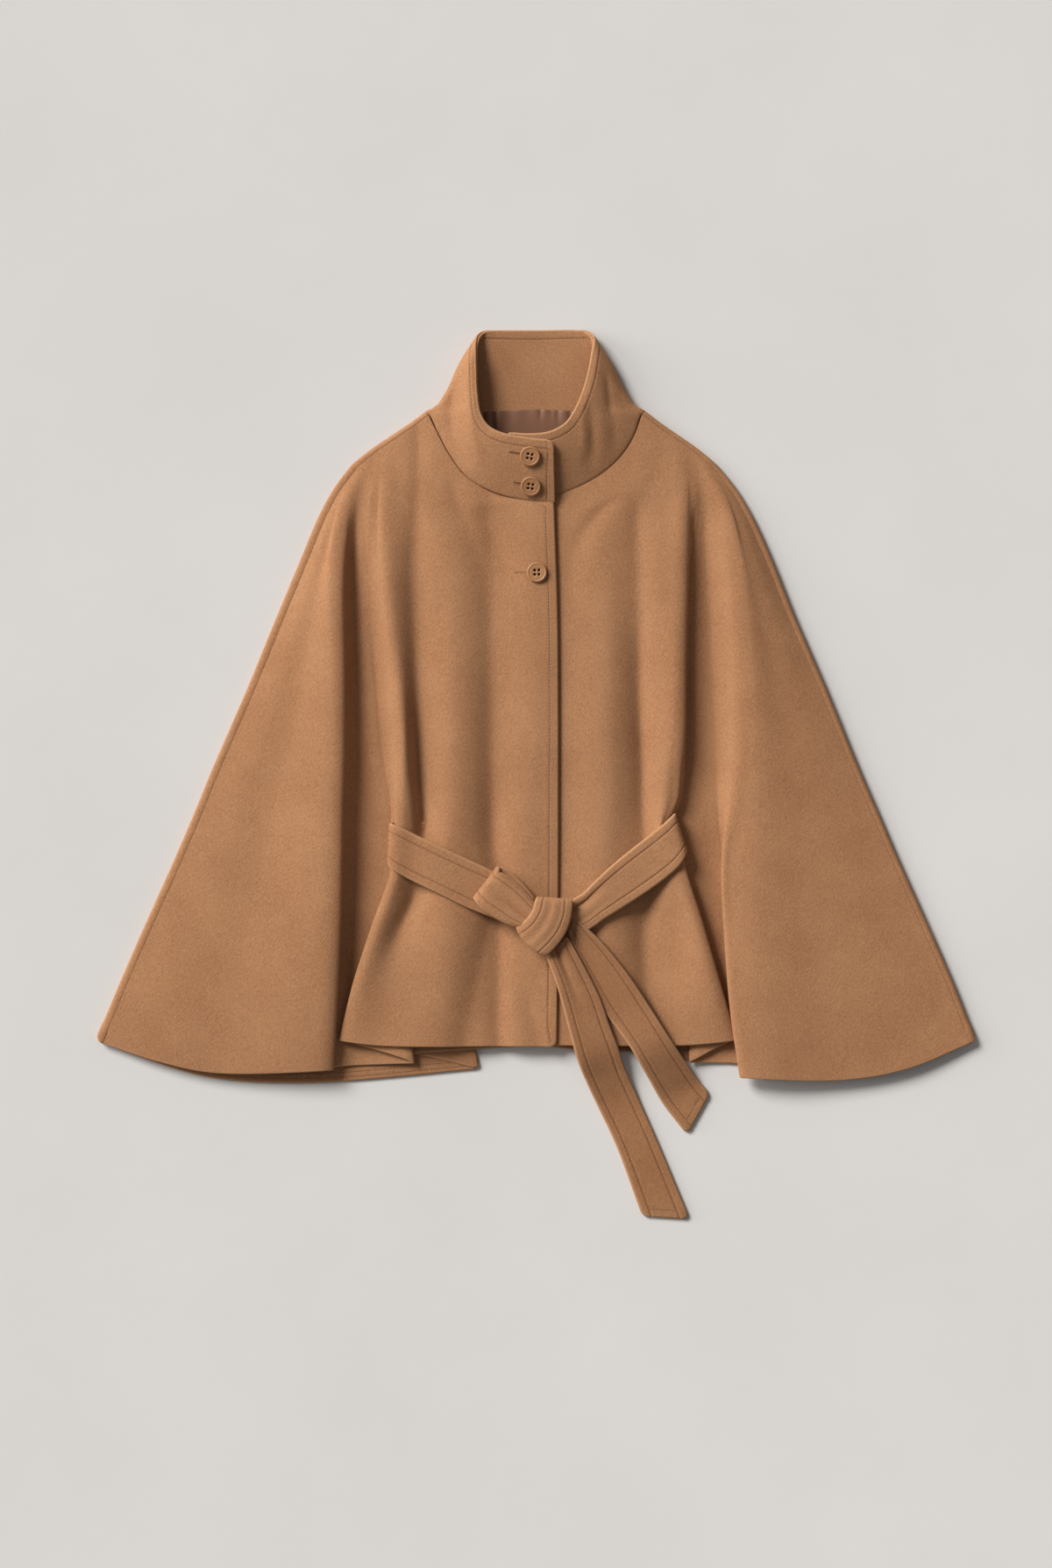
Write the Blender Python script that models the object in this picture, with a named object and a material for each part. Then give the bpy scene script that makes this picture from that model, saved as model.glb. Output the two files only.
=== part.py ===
"""Belted wool cape, laid flat on its back with the collar towards +Y.

Everything is worked out in millimetres and turned to metres when a mesh is made. X runs across the cape, Y up
its length and Z away from the surface that it lies on. "Out" is the distance from the centre line, so one set of
functions makes both sides. Right and left are the wearer's: the right front lies at -X and laps over the left.
"""
import math
from collections import namedtuple

import bmesh
import bpy
from mathutils import Matrix, Vector

# Driving dimensions, in millimetres
MM = 0.001
WOOL = 2.2              # coating wool, one layer
SATIN = 1.0             # neck lining with its seam allowance
SEAM_GAP = 0.3          # how far a front stops short of its seam with the back
BACK_SEAM_GAP = 0.85    # and how far the back does, which meets it at a bend
BACK_Z = WOOL / 2       # middle of the back's cloth where it rests on the surface
BELT_THICK = 4.0        # two layers of the wool and their turned edges
BUTTON_RADIUS = 11.5
BUTTON_THICK = 3.4
BUTTON_HOLE = 2.5       # diameter of each sewing hole
BUTTON_HOLE_SPACING = 4.6

# The finest steps that the solids need between one section or crease and the next
ROW_STEPS = 2
SLIT_SECTIONS = (6, 7)  # each front is slit for the belt between these two of its sections


# ---------------------------------------------------------------- curves and meshes

def lerp(a, b, share):
    return a + (b - a) * share


def smooth(points, steps):
    """Centripetal Catmull-Rom curve through the points, with the given steps in each span."""
    points = [Vector(p) for p in points]
    if isinstance(steps, int):
        steps = [steps] * (len(points) - 1)
    first = points[0] * 2 - points[1]
    last = points[-1] * 2 - points[-2]
    knots = [first] + points + [last]
    curve = []
    for span, count in enumerate(steps):
        p0, p1, p2, p3 = knots[span:span + 4]
        t1 = max((p1 - p0).length, 1e-6) ** 0.5
        t2 = t1 + max((p2 - p1).length, 1e-6) ** 0.5
        t3 = t2 + max((p3 - p2).length, 1e-6) ** 0.5
        for step in range(count):
            t = lerp(t1, t2, step / count)
            a1 = p0.lerp(p1, t / t1)
            a2 = p1.lerp(p2, (t - t1) / (t2 - t1))
            a3 = p2.lerp(p3, (t - t2) / (t3 - t2))
            b1 = a1.lerp(a2, t / t2)
            b2 = a2.lerp(a3, (t - t1) / (t3 - t1))
            curve.append(b1.lerp(b2, (t - t1) / (t2 - t1)))
    curve.append(points[-1])
    return curve


def grid_faces(rows, columns, start=0, skip=()):
    faces = []
    for r in range(rows - 1):
        for c in range(columns - 1):
            if (r, c) in skip:
                continue
            corner = start + r * columns + c
            faces.append((corner, corner + 1, corner + columns + 1, corner + columns))
    return faces


def wool_material(name, color, roughness):
    material = bpy.data.materials.new(name)
    material.use_nodes = True
    shader = material.node_tree.nodes["Principled BSDF"]
    shader.inputs["Base Color"].default_value = (*color, 1.0)
    shader.inputs["Roughness"].default_value = roughness
    shader.inputs["Metallic"].default_value = 0.0
    return material


CAMEL = (0.40, 0.21, 0.11)
TAUPE = (0.20, 0.11, 0.07)
BUTTON_BROWN = (0.37, 0.20, 0.10)


def add_object(name, mesh_bm, color=CAMEL, roughness=0.9):
    mesh = bpy.data.meshes.new(name)
    mesh_bm.to_mesh(mesh)
    mesh_bm.free()
    mesh.materials.append(wool_material(name, color, roughness))
    mesh.shade_smooth()
    mesh.set_sharp_from_angle(angle=math.radians(40))
    item = bpy.data.objects.new(name, mesh)
    bpy.context.scene.collection.objects.link(item)
    return item


def add_cloth(name, points, faces, thickness, color=CAMEL, roughness=0.9, weld=False):
    """A panel: the cloth's middle surface, thickened by half its wall to each side."""
    mesh_bm = bmesh.new()
    verts = [mesh_bm.verts.new(Vector(p) * MM) for p in points]
    for face in faces:
        mesh_bm.faces.new([verts[i] for i in face])
    if weld:
        bmesh.ops.remove_doubles(mesh_bm, verts=mesh_bm.verts, dist=0.00001)
    loose = [v for v in mesh_bm.verts if not v.link_faces]
    bmesh.ops.delete(mesh_bm, geom=loose, context="VERTS")
    bmesh.ops.recalc_face_normals(mesh_bm, faces=mesh_bm.faces)
    item = add_object(name, mesh_bm, color, roughness)
    wall = item.modifiers.new("wall", "SOLIDIFY")
    wall.thickness = thickness * MM
    wall.offset = 0.0
    return item


# ---------------------------------------------------------------- fronts

# Each section of a front runs from its inner edge to the seam with the back. edge_y and seam_y are its two ends.
# closed is how far the side pleat has shut, drop how much of the hem's curve it has, tight how narrow its folds
# are. The rest are creases in order, each (out, z): two ridges and two troughs of the body, the fold at the
# body's side, the fold under it, the valley, the wing's inner ridge, the wing's middle and the seam.
Section = namedtuple("Section", "edge_y seam_y closed drop tight edge c1 c2 c3 c4 side under valley wing mid seam")

RIGHT_FRONT = (
    Section(408.5, 350.5, 0, 0, 0.2, (121, 11), (131, 10.5), (142, 10), (152, 9.5), (162, 9.2),
            (172, 9), (181, 8.5), (188, 8.5), (194, 8), (200, 7.8), (206.5, 7.5)),
    Section(363.5, 300.5, 0, 0, 0.6, (98, 15), (112, 15.5), (128, 15), (143, 15), (157, 14.5),
            (176, 16), (190, 13.5), (202, 11.5), (213, 14.5), (223, 12), (235.5, 7.5)),
    Section(320.5, 243.5, 0, 0, 0.9, (47, 19.5), (68, 20.5), (97, 18.5), (124, 19.5), (148, 18),
            (176, 21), (194, 12.5), (207, 7.5), (218, 21), (238, 16.5), (259.5, 8)),
    Section(308.5, 183.5, 0, 0, 1, (-20.5, 21.5), (8, 22.3), (56, 20), (99, 22), (143, 18.5),
            (174, 24), (193, 10), (207, 5.2), (219.5, 27), (250, 19), (284.5, 8)),
    Section(183.5, 93.5, 0, 0, 1, (-24.5, 21.6), (2, 22.6), (50, 19.4), (94, 23.6), (135, 16.5),
            (165, 25), (184, 7), (207, 5), (218, 30), (267, 19), (321.5, 8)),
    Section(63.5, 3.5, 0, 0, 1, (-25.5, 21), (0, 22.4), (48, 18.6), (93, 24.4), (134, 14.5),
            (158, 25.5), (176, 6.5), (205, 5), (218, 31), (287, 18), (360.5, 8)),
    Section(-30, -50, 0.4, 0.05, 1, (-25.5, 18.5), (6, 20), (50, 16.8), (95, 21.8), (133, 12.5),
            (160, 20.8), (163.5, 6), (205, 5), (220, 31), (302, 18), (382.5, 8)),
    Section(-98, -108, 0.6, 0.15, 1, (-25.5, 16.5), (13, 19.5), (57, 16), (105, 22), (137, 13),
            (162.5, 21), (163, 6), (207, 5), (221, 31), (313, 18), (407.5, 8)),
    Section(-176.5, -180.5, 1, 0.35, 1, (-25, 16), (16, 20), (55, 16.8), (100, 22.4), (150, 15.5),
            (187.5, 23), (155.5, 7), (210, 5), (223, 30), (333, 17.5), (440, 8)),
    Section(-243.5, -246, 1, 0.65, 1, (-24.5, 15.5), (19, 17), (64, 15.8), (104, 21.2), (168, 17),
            (208.5, 20), (147.5, 8), (213, 5), (227, 27), (350, 17), (468.5, 8)),
    Section(-310, -306.5, 1, 1, 1, (-23.5, 15), (24, 16.2), (73, 15.6), (110, 19.8), (180, 17.5),
            (223.5, 16), (139.5, 9), (214, 5.5), (231.5, 21), (367, 14), (493.5, 8)),
)

LEFT_FRONT = (
    Section(409.5, 350.5, 0, 0, 0.2, (119.5, 11), (128, 10.5), (137, 10), (146, 9.5), (156, 9.2),
            (166, 9), (175, 8.5), (182, 8.5), (189, 8), (196, 7.8), (204.5, 7.5)),
    Section(364.5, 300.5, 0, 0, 0.6, (98, 14.2), (111, 15), (127, 15.5), (142, 14.5), (156, 15.5),
            (172, 16.5), (184, 12.5), (193, 11.5), (208, 16), (221, 12.5), (235.5, 7.5)),
    Section(330, 243.5, 0, 0, 0.9, (54, 16), (72, 17), (98, 18.5), (122, 17), (147, 18.5),
            (170, 21.5), (181, 10.5), (193, 8), (215, 20.5), (237, 18.5), (261.5, 8)),
    Section(310.5, 183.5, 0, 0, 1, (-19.5, 14), (28.5, 16.4), (78, 20.5), (112, 18), (144, 22),
            (168, 24), (177, 9), (196, 5.5), (220, 23.5), (252, 19.5), (285.5, 8)),
    Section(183.5, 93.5, 0, 0, 1, (-19.5, 15), (28.5, 17), (82, 22.5), (117, 17), (149, 24.5),
            (165.5, 26), (174, 7), (201, 5), (226, 26), (270, 19.5), (324.5, 8)),
    Section(63.5, 3.5, 0, 0, 1, (-19.5, 14.5), (28.5, 16.4), (83, 23), (120, 15), (150, 25.5),
            (164, 26.5), (172, 6.5), (204, 5), (227, 27), (288, 20), (361.5, 8)),
    Section(-18, -40, 0.4, 0.05, 1, (-19.5, 12.5), (28.5, 14.4), (82, 20.5), (118, 13), (147, 22),
            (163, 21), (166, 6), (205, 5), (222, 26.5), (292, 20), (380.5, 8)),
    Section(-86, -98, 0.6, 0.15, 1, (-19.5, 11.5), (28.5, 12.5), (76, 19.5), (122, 13), (150, 21.5),
            (166, 21), (166, 6), (212, 5), (212, 28), (305, 20), (405.5, 8)),
    Section(-170, -176, 1, 0.35, 1, (-19.5, 11.5), (28.5, 12.5), (73, 18.5), (124, 12.5), (166, 20),
            (189.5, 23.5), (172, 6), (222, 5), (215, 29), (326, 19.5), (440.5, 8)),
    Section(-243.5, -246, 1, 0.65, 1, (-19.5, 11), (28.5, 12), (76, 17), (129, 13.5), (178, 19),
            (210, 22), (174, 5.5), (229, 5), (221.5, 26), (340, 18.5), (471, 8)),
    Section(-309, -306.5, 1, 1, 1, (-19.5, 10.5), (28.5, 11.5), (78.5, 15), (126.5, 13), (178.5, 16),
            (228.5, 16), (175.5, 5), (240.5, 5), (232.5, 20.5), (348.5, 14.5), (494.5, 8)),
)

# The neck seam from the shoulder to the front edge, (out, y, z). Each front's first sections end on it.
RIGHT_NECK = ((121, 408.5, 11), (112, 390, 12.6), (98, 363.5, 15), (78, 338, 17), (47, 320.5, 19.5),
              (14, 312.3, 21.2), (-20.5, 308.5, 21.5))
LEFT_NECK = ((119.5, 409.5, 11), (111, 386, 12.6), (98, 364.5, 14.2), (80, 346.5, 15.4), (54, 330, 16),
             (20, 317.3, 15.6), (-19.5, 310.5, 14))

# How far the hem hangs below the straight line from its edge to its seam, at each crease in turn
HemDrop = namedtuple("HemDrop", "body side under valley wing mid outer")
RIGHT_HEM = HemDrop(-1, 5, -20, -24, -28, -32.5, -20)
LEFT_HEM = HemDrop(-1, 5, -20, -24, -37, -41, -29)

# The share by which the wing's inner edge rolls over its valley, section by section
RIGHT_ROLL = (0, 0, 0.2, 0.6, 0.8, 0.9, 0.9, 0.9, 1, 1, 1)
LEFT_ROLL = (0, 0, 0, 0, 0, 0, 0.2, 0.8, 1, 1, 1)

NECK_CORNER = 3         # section whose inner end is the corner of neck seam and front edge
FOLD_HALF = 7.0         # half width of the rounded edge of a fold
# steps from each crease's point to the next one
FRONT_STEPS = (1, 2, 2, 1, 1, 1, 1, 1, 1, 1, 1, 1, 1, 1, 2, 1, 2)
SLIT_CELLS = (8, 9, 10)  # columns of the grid that the belt's slit takes out


def section_points(section, hem, roll, side):
    """The control points of one section, from the inner edge to the seam."""
    wide = FOLD_HALF * section.tight
    shut = section.closed
    side_a, side_z = section.side
    under_a, under_z = section.under
    valley_a, valley_z = section.valley
    wing_a, wing_z = section.wing
    mid_a, mid_z = section.mid
    seam_a, seam_z = section.seam
    low_z = lerp(0, 2.3, shut)
    points = [
        (*section.edge, 0),
        (*section.c1, 0),
        (*section.c2, hem.body * 0.5),
        (*section.c3, hem.body),
        (*section.c4, 0),
        (side_a - wide, side_z, hem.side - 1),
        (side_a, side_z - lerp(1, 3, shut) * section.tight, hem.side),
        (side_a + lerp(0.6, -1, shut) * wide, side_z - lerp(4, 6, shut) * section.tight, hem.side - 1),
        (under_a + lerp(-0.5, 1, shut) * wide, under_z + lerp(1.5, 4.6, shut) * section.tight, hem.under + 4),
        (under_a, under_z + low_z, hem.under),
        (under_a + lerp(0.6, 1, shut) * wide, under_z - lerp(1.5 * (under_z > 8), 0, shut) * section.tight,
         hem.under - 0.5),
        (valley_a, valley_z, hem.valley),
        (lerp((valley_a + wing_a) / 2, wing_a + 3.5, roll), (valley_z + wing_z) / 2, (hem.valley + hem.wing) / 2),
        (wing_a, wing_z - 4 * roll, hem.wing),
        (wing_a + lerp(18, 9, roll) * section.tight, wing_z + 0.5, hem.wing - 1),
        (mid_a, mid_z, hem.mid),
        ((mid_a + seam_a) / 2, (mid_z + seam_z) / 2 + 1, hem.outer),
        (seam_a - SEAM_GAP, seam_z, 0),
    ]
    edge_a = section.edge[0]
    placed = []
    for out, z, drop in points:
        share = (out - edge_a) / (seam_a - edge_a)
        y = lerp(section.edge_y, section.seam_y, share) + drop * section.drop
        placed.append(Vector((out * side, y, z)))
    return placed


def front_rows(sections, neck, hem, rolls, side, row_steps=ROW_STEPS, steps=FRONT_STEPS):
    """Rows of points of a front's middle surface, from the shoulder seam to the hem."""
    controls = [section_points(s, hem, r, side) for s, r in zip(sections, rolls)]
    neck_steps = row_steps * NECK_CORNER // (len(neck) - 1)
    neck_line = smooth([(out * side, y, z) for out, y, z in neck], neck_steps)
    lines = []
    for column in range(len(controls[0])):
        line = [row[column] for row in controls]
        if column == 0:
            lines.append(neck_line[:-1] + smooth(line[NECK_CORNER:], row_steps))
        else:
            lines.append(smooth(line, row_steps))
    return [smooth([line[r] for line in lines], list(steps)) for r in range(len(lines[0]))]


def make_front(name, rows):
    columns = len(rows[0])
    first, last = (s * ROW_STEPS for s in SLIT_SECTIONS)
    slit = {(r, c) for r in range(first, last) for c in SLIT_CELLS}
    points = [p for row in rows for p in row]
    add_cloth(name, points, grid_faces(len(rows), columns, skip=slit), WOOL)


# ---------------------------------------------------------------- back

# The back lies flat. Its two halves meet at the centre line, and its outer edge rolls up to the seam with the front.
BACK_NECK_Y = 415.0
BACK_HEM_Y = -307.5
EDGE_ROLL = 3.3         # radius of the rolled outer edge
RIGHT_LAP = (4.6, 6.5, 8.0)   # how far it reaches past the seam: at the neck, at the shoulder and below it
LEFT_LAP = (4.4, 5.0, 6.5)
SHOULDER_PICKS = (0, 4, 8, 12, 17)  # points of the front's shoulder seam that the back's rows share

# The left side of the back's hem, as the viewer sees it, has one flare folded over: rows from where it starts
BackFlare = namedtuple("BackFlare", "y rise folded outer inner hem_drop")
RIGHT_FLARE = (
    BackFlare(-110, 0, 0, 95, 115, 0),
    BackFlare(-160, 1, 0.3, 100, 108, 0),
    BackFlare(-220, 1, 1, 125, 85, 0.3),
    BackFlare(-310, 1, 1, 150, 65.5, 1),
)
# How far the back's hem hangs below its centre, from the centre out to its rolled edge
RIGHT_BACK_HEM = (0, -3, -10, -28, -45, -38)
LEFT_BACK_HEM = (0, -5, -8, -11, -24, -24)


def flare_at(y):
    rows = RIGHT_FLARE
    if y >= rows[0].y:
        return rows[0]
    for above, below in zip(rows, rows[1:]):
        if y >= below.y:
            share = (above.y - y) / (above.y - below.y)
            return BackFlare(*(lerp(p, q, share) for p, q in zip(above, below)))
    return rows[-1]


def back_row(centre_y, seam_point, normal, lap, side, flare, drops, drop_share):
    """One row of the back, from the centre line out and up round its rolled edge to the seam."""
    out_end = seam_point + normal * (lap - EDGE_ROLL)
    top_z = seam_point.z
    radius = (top_z - BACK_Z) / 2
    reach = abs(out_end.x)
    plies = WOOL + SEAM_GAP
    up = flare.rise
    fold = 5.0
    scale = min(1.0, reach / 300)
    outer = flare.outer * scale
    inner = flare.inner * scale
    shut = flare.folded
    top = BACK_Z + 2 * plies * up
    middle = BACK_Z + plies * up
    controls = [
        (0.0, BACK_Z, drops[0]),
        (min(45.0, outer * 0.5), BACK_Z + plies * up * 0.9 * shut, drops[1]),
        (outer - fold, top, drops[2]),
        (outer, lerp(top, (top + middle) / 2, shut), drops[2]),
        (outer + lerp(1, -1, shut) * fold, middle + 0.2 * up, drops[2]),
        (inner + lerp(-1, 1, shut) * fold, middle - 0.2 * up, drops[3] + 2),
        (inner, lerp(BACK_Z, (middle + BACK_Z) / 2, shut), drops[3]),
        (inner + fold, BACK_Z, drops[3]),
        (lerp(max(outer, inner), reach, 0.33), BACK_Z, drops[4]),
        (lerp(max(outer, inner), reach, 0.66), BACK_Z, drops[5]),
    ]
    points = []
    for out, z, drop in controls:
        y = lerp(centre_y, out_end.y, out / reach) + drop * drop_share
        points.append(Vector((out * side, y, z)))
    edge_in = normal * radius
    points.append(Vector((out_end.x, out_end.y, BACK_Z)) - edge_in * 0.5)
    bulge = Vector((out_end.x, out_end.y, BACK_Z + radius)) + normal * EDGE_ROLL
    points.append(Vector((out_end.x, out_end.y, BACK_Z)) + normal * EDGE_ROLL * 0.55 + Vector((0, 0, radius * 0.22)))
    points.append(bulge)
    points.append(Vector((out_end.x, out_end.y, top_z)) + normal * EDGE_ROLL * 0.55 - Vector((0, 0, radius * 0.22)))
    points.append(seam_point + normal * BACK_SEAM_GAP)
    return points


def seam_line(front):
    """The seam of a front with the back, from the neck over the shoulder and down to the hem."""
    return [front[0][pick] for pick in SHOULDER_PICKS] + [row[-1] for row in front]


def half_back(seam, levels, side, laps, flares, drops):
    """Rows of one half of the back. levels gives each row's share of the way from neck to hem."""
    rows = []
    for index, (point, down) in enumerate(zip(seam, levels)):
        before = seam[max(index - 1, 0)]
        after = seam[min(index + 1, len(seam) - 1)]
        along = (after - before).normalized()
        normal = Vector((along.y, -along.x, 0)).normalized()
        if normal.x * side < 0:
            normal = -normal
        lap_share = 2 * min(1.0, index / 8)
        lap = lerp(laps[0], laps[1], lap_share) if lap_share < 1 else lerp(laps[1], laps[2], lap_share - 1)
        centre_y = lerp(BACK_NECK_Y, BACK_HEM_Y, down)
        drop_share = max(0.0, (down - 0.55) / 0.45) ** 1.5
        rows.append(back_row(centre_y, point, normal, lap, side, flares(centre_y), drops, drop_share))
    return rows


def make_back(right_rows, left_rows):
    columns = len(right_rows[0])
    points = []
    faces = []
    for rows in (right_rows, left_rows):
        faces += grid_faces(len(rows), columns, start=len(points))
        points += [p for row in rows for p in row]
    add_cloth("back", points, faces, WOOL, weld=True)


# ---------------------------------------------------------------- collar and lining

# The rim of the funnel collar, a row for each of its sections: from the end of the top layer, round the side at
# -X, the back and the side at +X to the end that is tucked under. arch is how far the cloth bows from seam to rim.
Rim = namedtuple("Rim", "x y z arch")
COLLAR_RIM = (
    Rim(18.5, 377.5, 40, 1.5), Rim(-10, 380.5, 39.5, 2), Rim(-37, 385.5, 39, 2), Rim(-54, 394, 38, 2),
    Rim(-63.5, 408, 37, 2), Rim(-68, 434, 35, 1.5), Rim(-69, 462, 31, 0.5),
    Rim(-69.3, 478, 27, 0), Rim(-69, 490, 20, -0.5), Rim(-66.5, 499.5, 12, -0.5), Rim(-59, 504.5, 4.5, 0),
    Rim(-49, 505, 2.3, 0), Rim(-38, 505, 1.6, 0), Rim(0, 505, 1.2, 0), Rim(37, 505.5, 1.6, 0), Rim(47, 505.3, 2.3, 0),
    Rim(56, 505, 4.5, 0), Rim(64.5, 500, 12, -0.5), Rim(66.5, 491, 20, -0.5), Rim(64.5, 479, 26, 0),
    Rim(61, 460, 29.5, 0.5), Rim(55, 438, 32, 1.5), Rim(45, 414, 33.5, 2), Rim(34, 398, 34, 2),
    Rim(16, 388, 34, 2), Rim(-8, 385.3, 33.7, 1.5), Rim(-33.5, 387, 33, 1),
)
BACK_PICKS = (13, 12, 11, 10, 9, 8, 0)   # points of the back's neck edge that the collar's sections stand on
COLLAR_ROWS = 4
COLLAR_PLY_GAP = 0.5      # between the collar's two layers
NECK_EASE = 1.0           # how far the collar's lower edge stands off the neck seam


def collar_seam(right_neck, right_back, left_back, left_neck):
    """The neck seam all round, in the order of the rim's sections."""
    side_right = [right_back[pick] for pick in BACK_PICKS]
    side_left = [left_back[pick] for pick in BACK_PICKS[-2::-1]]
    return right_neck[::-1] + side_right + side_left + left_neck


def collar_grid(seam, rows=COLLAR_ROWS):
    """Points of the outer collar's middle surface: a column for each section, rows from neck seam to rim."""
    grid = []
    for row in range(rows + 1):
        line = []
        for low, rim in zip(seam, COLLAR_RIM):
            high = Vector((rim.x, rim.y, rim.z))
            share = lerp(NECK_EASE / (high - low).length, 1.0, row / rows)
            arch = math.sin(math.pi * row / rows) * rim.arch
            line.append(low.lerp(high, share) + Vector((0, 0, arch)))
        grid.append(line)
    return grid


def offset_grid(grid, distance):
    """The same grid moved off along its own normals, to the side that faces the wearer's neck."""
    rows, columns = len(grid), len(grid[0])
    moved = []
    for r in range(rows):
        line = []
        for c in range(columns):
            along = grid[r][min(c + 1, columns - 1)] - grid[r][max(c - 1, 0)]
            up = grid[min(r + 1, rows - 1)][c] - grid[max(r - 1, 0)][c]
            line.append(grid[r][c] + along.cross(up).normalized() * distance)
        moved.append(line)
    return moved


def make_collar(outer):
    inner = offset_grid(outer, WOOL + COLLAR_PLY_GAP)
    faces = grid_faces(len(outer), len(outer[0]))
    add_cloth("collar", [p for row in outer for p in row], faces, WOOL)
    add_cloth("collar_facing", [p for row in inner for p in row], faces, WOOL)


# The satin lining hangs from the back of the neck. Only its top shows, so it ends a hand's width below.
LINING_HALF_WIDTH = 104.0
LINING_TOP = 414.5
LINING_SIDE_DROP = 5.8      # the neck seam runs down towards the shoulders
LINING_DEPTH = 112.0
LINING_SIDE_SHORT = 55.0    # it is this much shorter at its sides
LINING_Z = 3.5
Pucker = namedtuple("Pucker", "x height width length")
PUCKERS = (Pucker(-57, 1.2, 6, 40), Pucker(-44, 1.0, 5, 26), Pucker(-14, 0.5, 6, 22), Pucker(10, 0.9, 5, 30),
           Pucker(24, 0.8, 4, 24), Pucker(36, 0.9, 4, 28), Pucker(70, 0.8, 7, 40), Pucker(-82, 0.8, 7, 40))


def lining_height(x, below):
    """How far the gathers lift the lining at a point this far below its seam."""
    lift = 0.0
    for pucker in PUCKERS:
        lift += pucker.height * math.exp(-((x - pucker.x) / pucker.width) ** 2 - (below / pucker.length) ** 2)
    return lift


def make_lining(columns=16, rows=4):
    points = []
    for row in range(rows + 1):
        for column in range(columns + 1):
            x = lerp(-LINING_HALF_WIDTH, LINING_HALF_WIDTH, column / columns)
            aside = abs(x / LINING_HALF_WIDTH)
            top = LINING_TOP - LINING_SIDE_DROP * aside
            below = (LINING_DEPTH - LINING_SIDE_SHORT * aside ** 2) * row / rows
            points.append((x, top - below, LINING_Z + lining_height(x, below)))
    add_cloth("neck_lining", points, grid_faces(rows + 1, columns + 1), SATIN, TAUPE, 0.45)


# ---------------------------------------------------------------- belt

# Each stretch of the belt is a row of stations: the two edges of the belt (x, y), the height of its middle and how
# far its middle line runs ahead of its edges. Upper edges come first.
Station = namedtuple("Station", "upper lower z ahead")
BELT_STRETCHES = {
    "belt_run_right": (
        Station((-141.5, -54.5), (-145.5, -100), 6.8, 0), Station((-158, -54.5), (-161, -100), 8.8, 0),
        Station((-163.4, -55), (-166, -100.5), 12.6, 0), Station((-165.2, -55.5), (-167.6, -101), 17.8, 0),
        Station((-163.4, -56.5), (-166.6, -104), 22.6, 0), Station((-157.5, -59), (-161.5, -109), 25, 0),
        Station((-137.5, -68.5), (-141.5, -120.5), 24, 0), Station((-106.5, -83.5), (-110.5, -135.5), 25.8, 0),
        Station((-76.5, -97.5), (-77.5, -151.5), 24.4, 0), Station((-49.5, -110.5), (-49.5, -162.5), 22.8, 0),
        Station((-26.5, -126.5), (-33, -168.5), 23.4, 0), Station((-10, -146.5), (-23.5, -170), 23.8, 2)),
    "belt_run_left": (
        Station((44.8, -146.5), (44.6, -159.5), 24, 0), Station((52, -137), (60.5, -174), 24, 0),
        Station((66, -122.5), (78, -164), 24.2, 0), Station((88.5, -101.5), (104.5, -147.5), 23.6, 0),
        Station((123.5, -73.5), (138.5, -124.5), 24.4, 0), Station((148, -55.5), (160.5, -106), 25.8, 0),
        Station((161, -47), (167.5, -95.5), 24.8, 0), Station((166.8, -45), (169.3, -90.5), 22, 0),
        Station((168.4, -44.5), (170, -89), 17.6, 0), Station((166.6, -44), (168.2, -88.5), 12.4, 0),
        Station((161.5, -44), (163, -88.5), 8.8, 0), Station((145, -45), (148, -90), 6.8, 0)),
    "belt_back_run": (
        Station((-140.8, -54.5), (-144.8, -100), 6.8, 0), Station((-118, -54), (-120, -100), 5.4, 0),
        Station((-80, -53), (-80, -98.5), 4.9, 0), Station((0, -50), (0, -95), 4.8, 0),
        Station((80, -47), (81, -92), 4.9, 0), Station((120, -46), (122, -91), 5.4, 0),
        Station((144.3, -45), (147.3, -90), 6.8, 0)),
    "belt_loop": (
        Station((-3.5, -142), (-22.5, -168.5), 28.8, 8), Station((-19.5, -123.5), (-43.5, -161.5), 28.4, 0),
        Station((-33.5, -110.5), (-60.5, -149.5), 28.2, 0), Station((-40.5, -106.5), (-68.5, -145), 28.6, 0),
        Station((-42.5, -105), (-70.5, -141.5), 31, 0), Station((-40.5, -106.5), (-68.5, -145), 33.4, 0),
        Station((-33.5, -109.5), (-61.5, -152.5), 33.8, 0), Station((-18.5, -121.5), (-43.5, -163.5), 34, 0),
        Station((-2.5, -142), (-22, -168.5), 34.2, -8)),
    "belt_tail_long": (
        Station((12, -208.6), (36.4, -185.6), 28, 5), Station((21.5, -233), (52, -213), 26.6, 0),
        Station((30.5, -264), (72.5, -254), 24, 0), Station((39, -296), (83, -284), 21.8, 0),
        Station((47.5, -326.5), (92.5, -308.5), 18.6, 0), Station((58, -352), (103, -339), 9.5, 0),
        Station((70.5, -378.5), (115.5, -367.5), 3.6, 0), Station((91.5, -423.5), (136.5, -414.5), 2.2, 0),
        Station((120.5, -502), (174.5, -505.5), 2.1, 0)),
    "belt_tail_short": (
        Station((37.8, -181.6), (44.6, -163.2), 24, 0), Station((50.5, -205), (71.5, -187.5), 23.6, 0),
        Station((68, -239), (101.5, -223.5), 22.6, 0), Station((88, -275), (127, -261), 21.2, 0),
        Station((111.5, -317.5), (152, -300), 21.4, 0), Station((130, -350), (172, -330), 11.2, 0),
        Station((145, -376), (186, -350), 3.6, 0), Station((171, -409.5), (197, -363), 2.1, 0)),
}
BELT_EDGE = 2.2             # how far in from its edges the belt is at its full thickness
BELT_STEPS = 1


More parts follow.
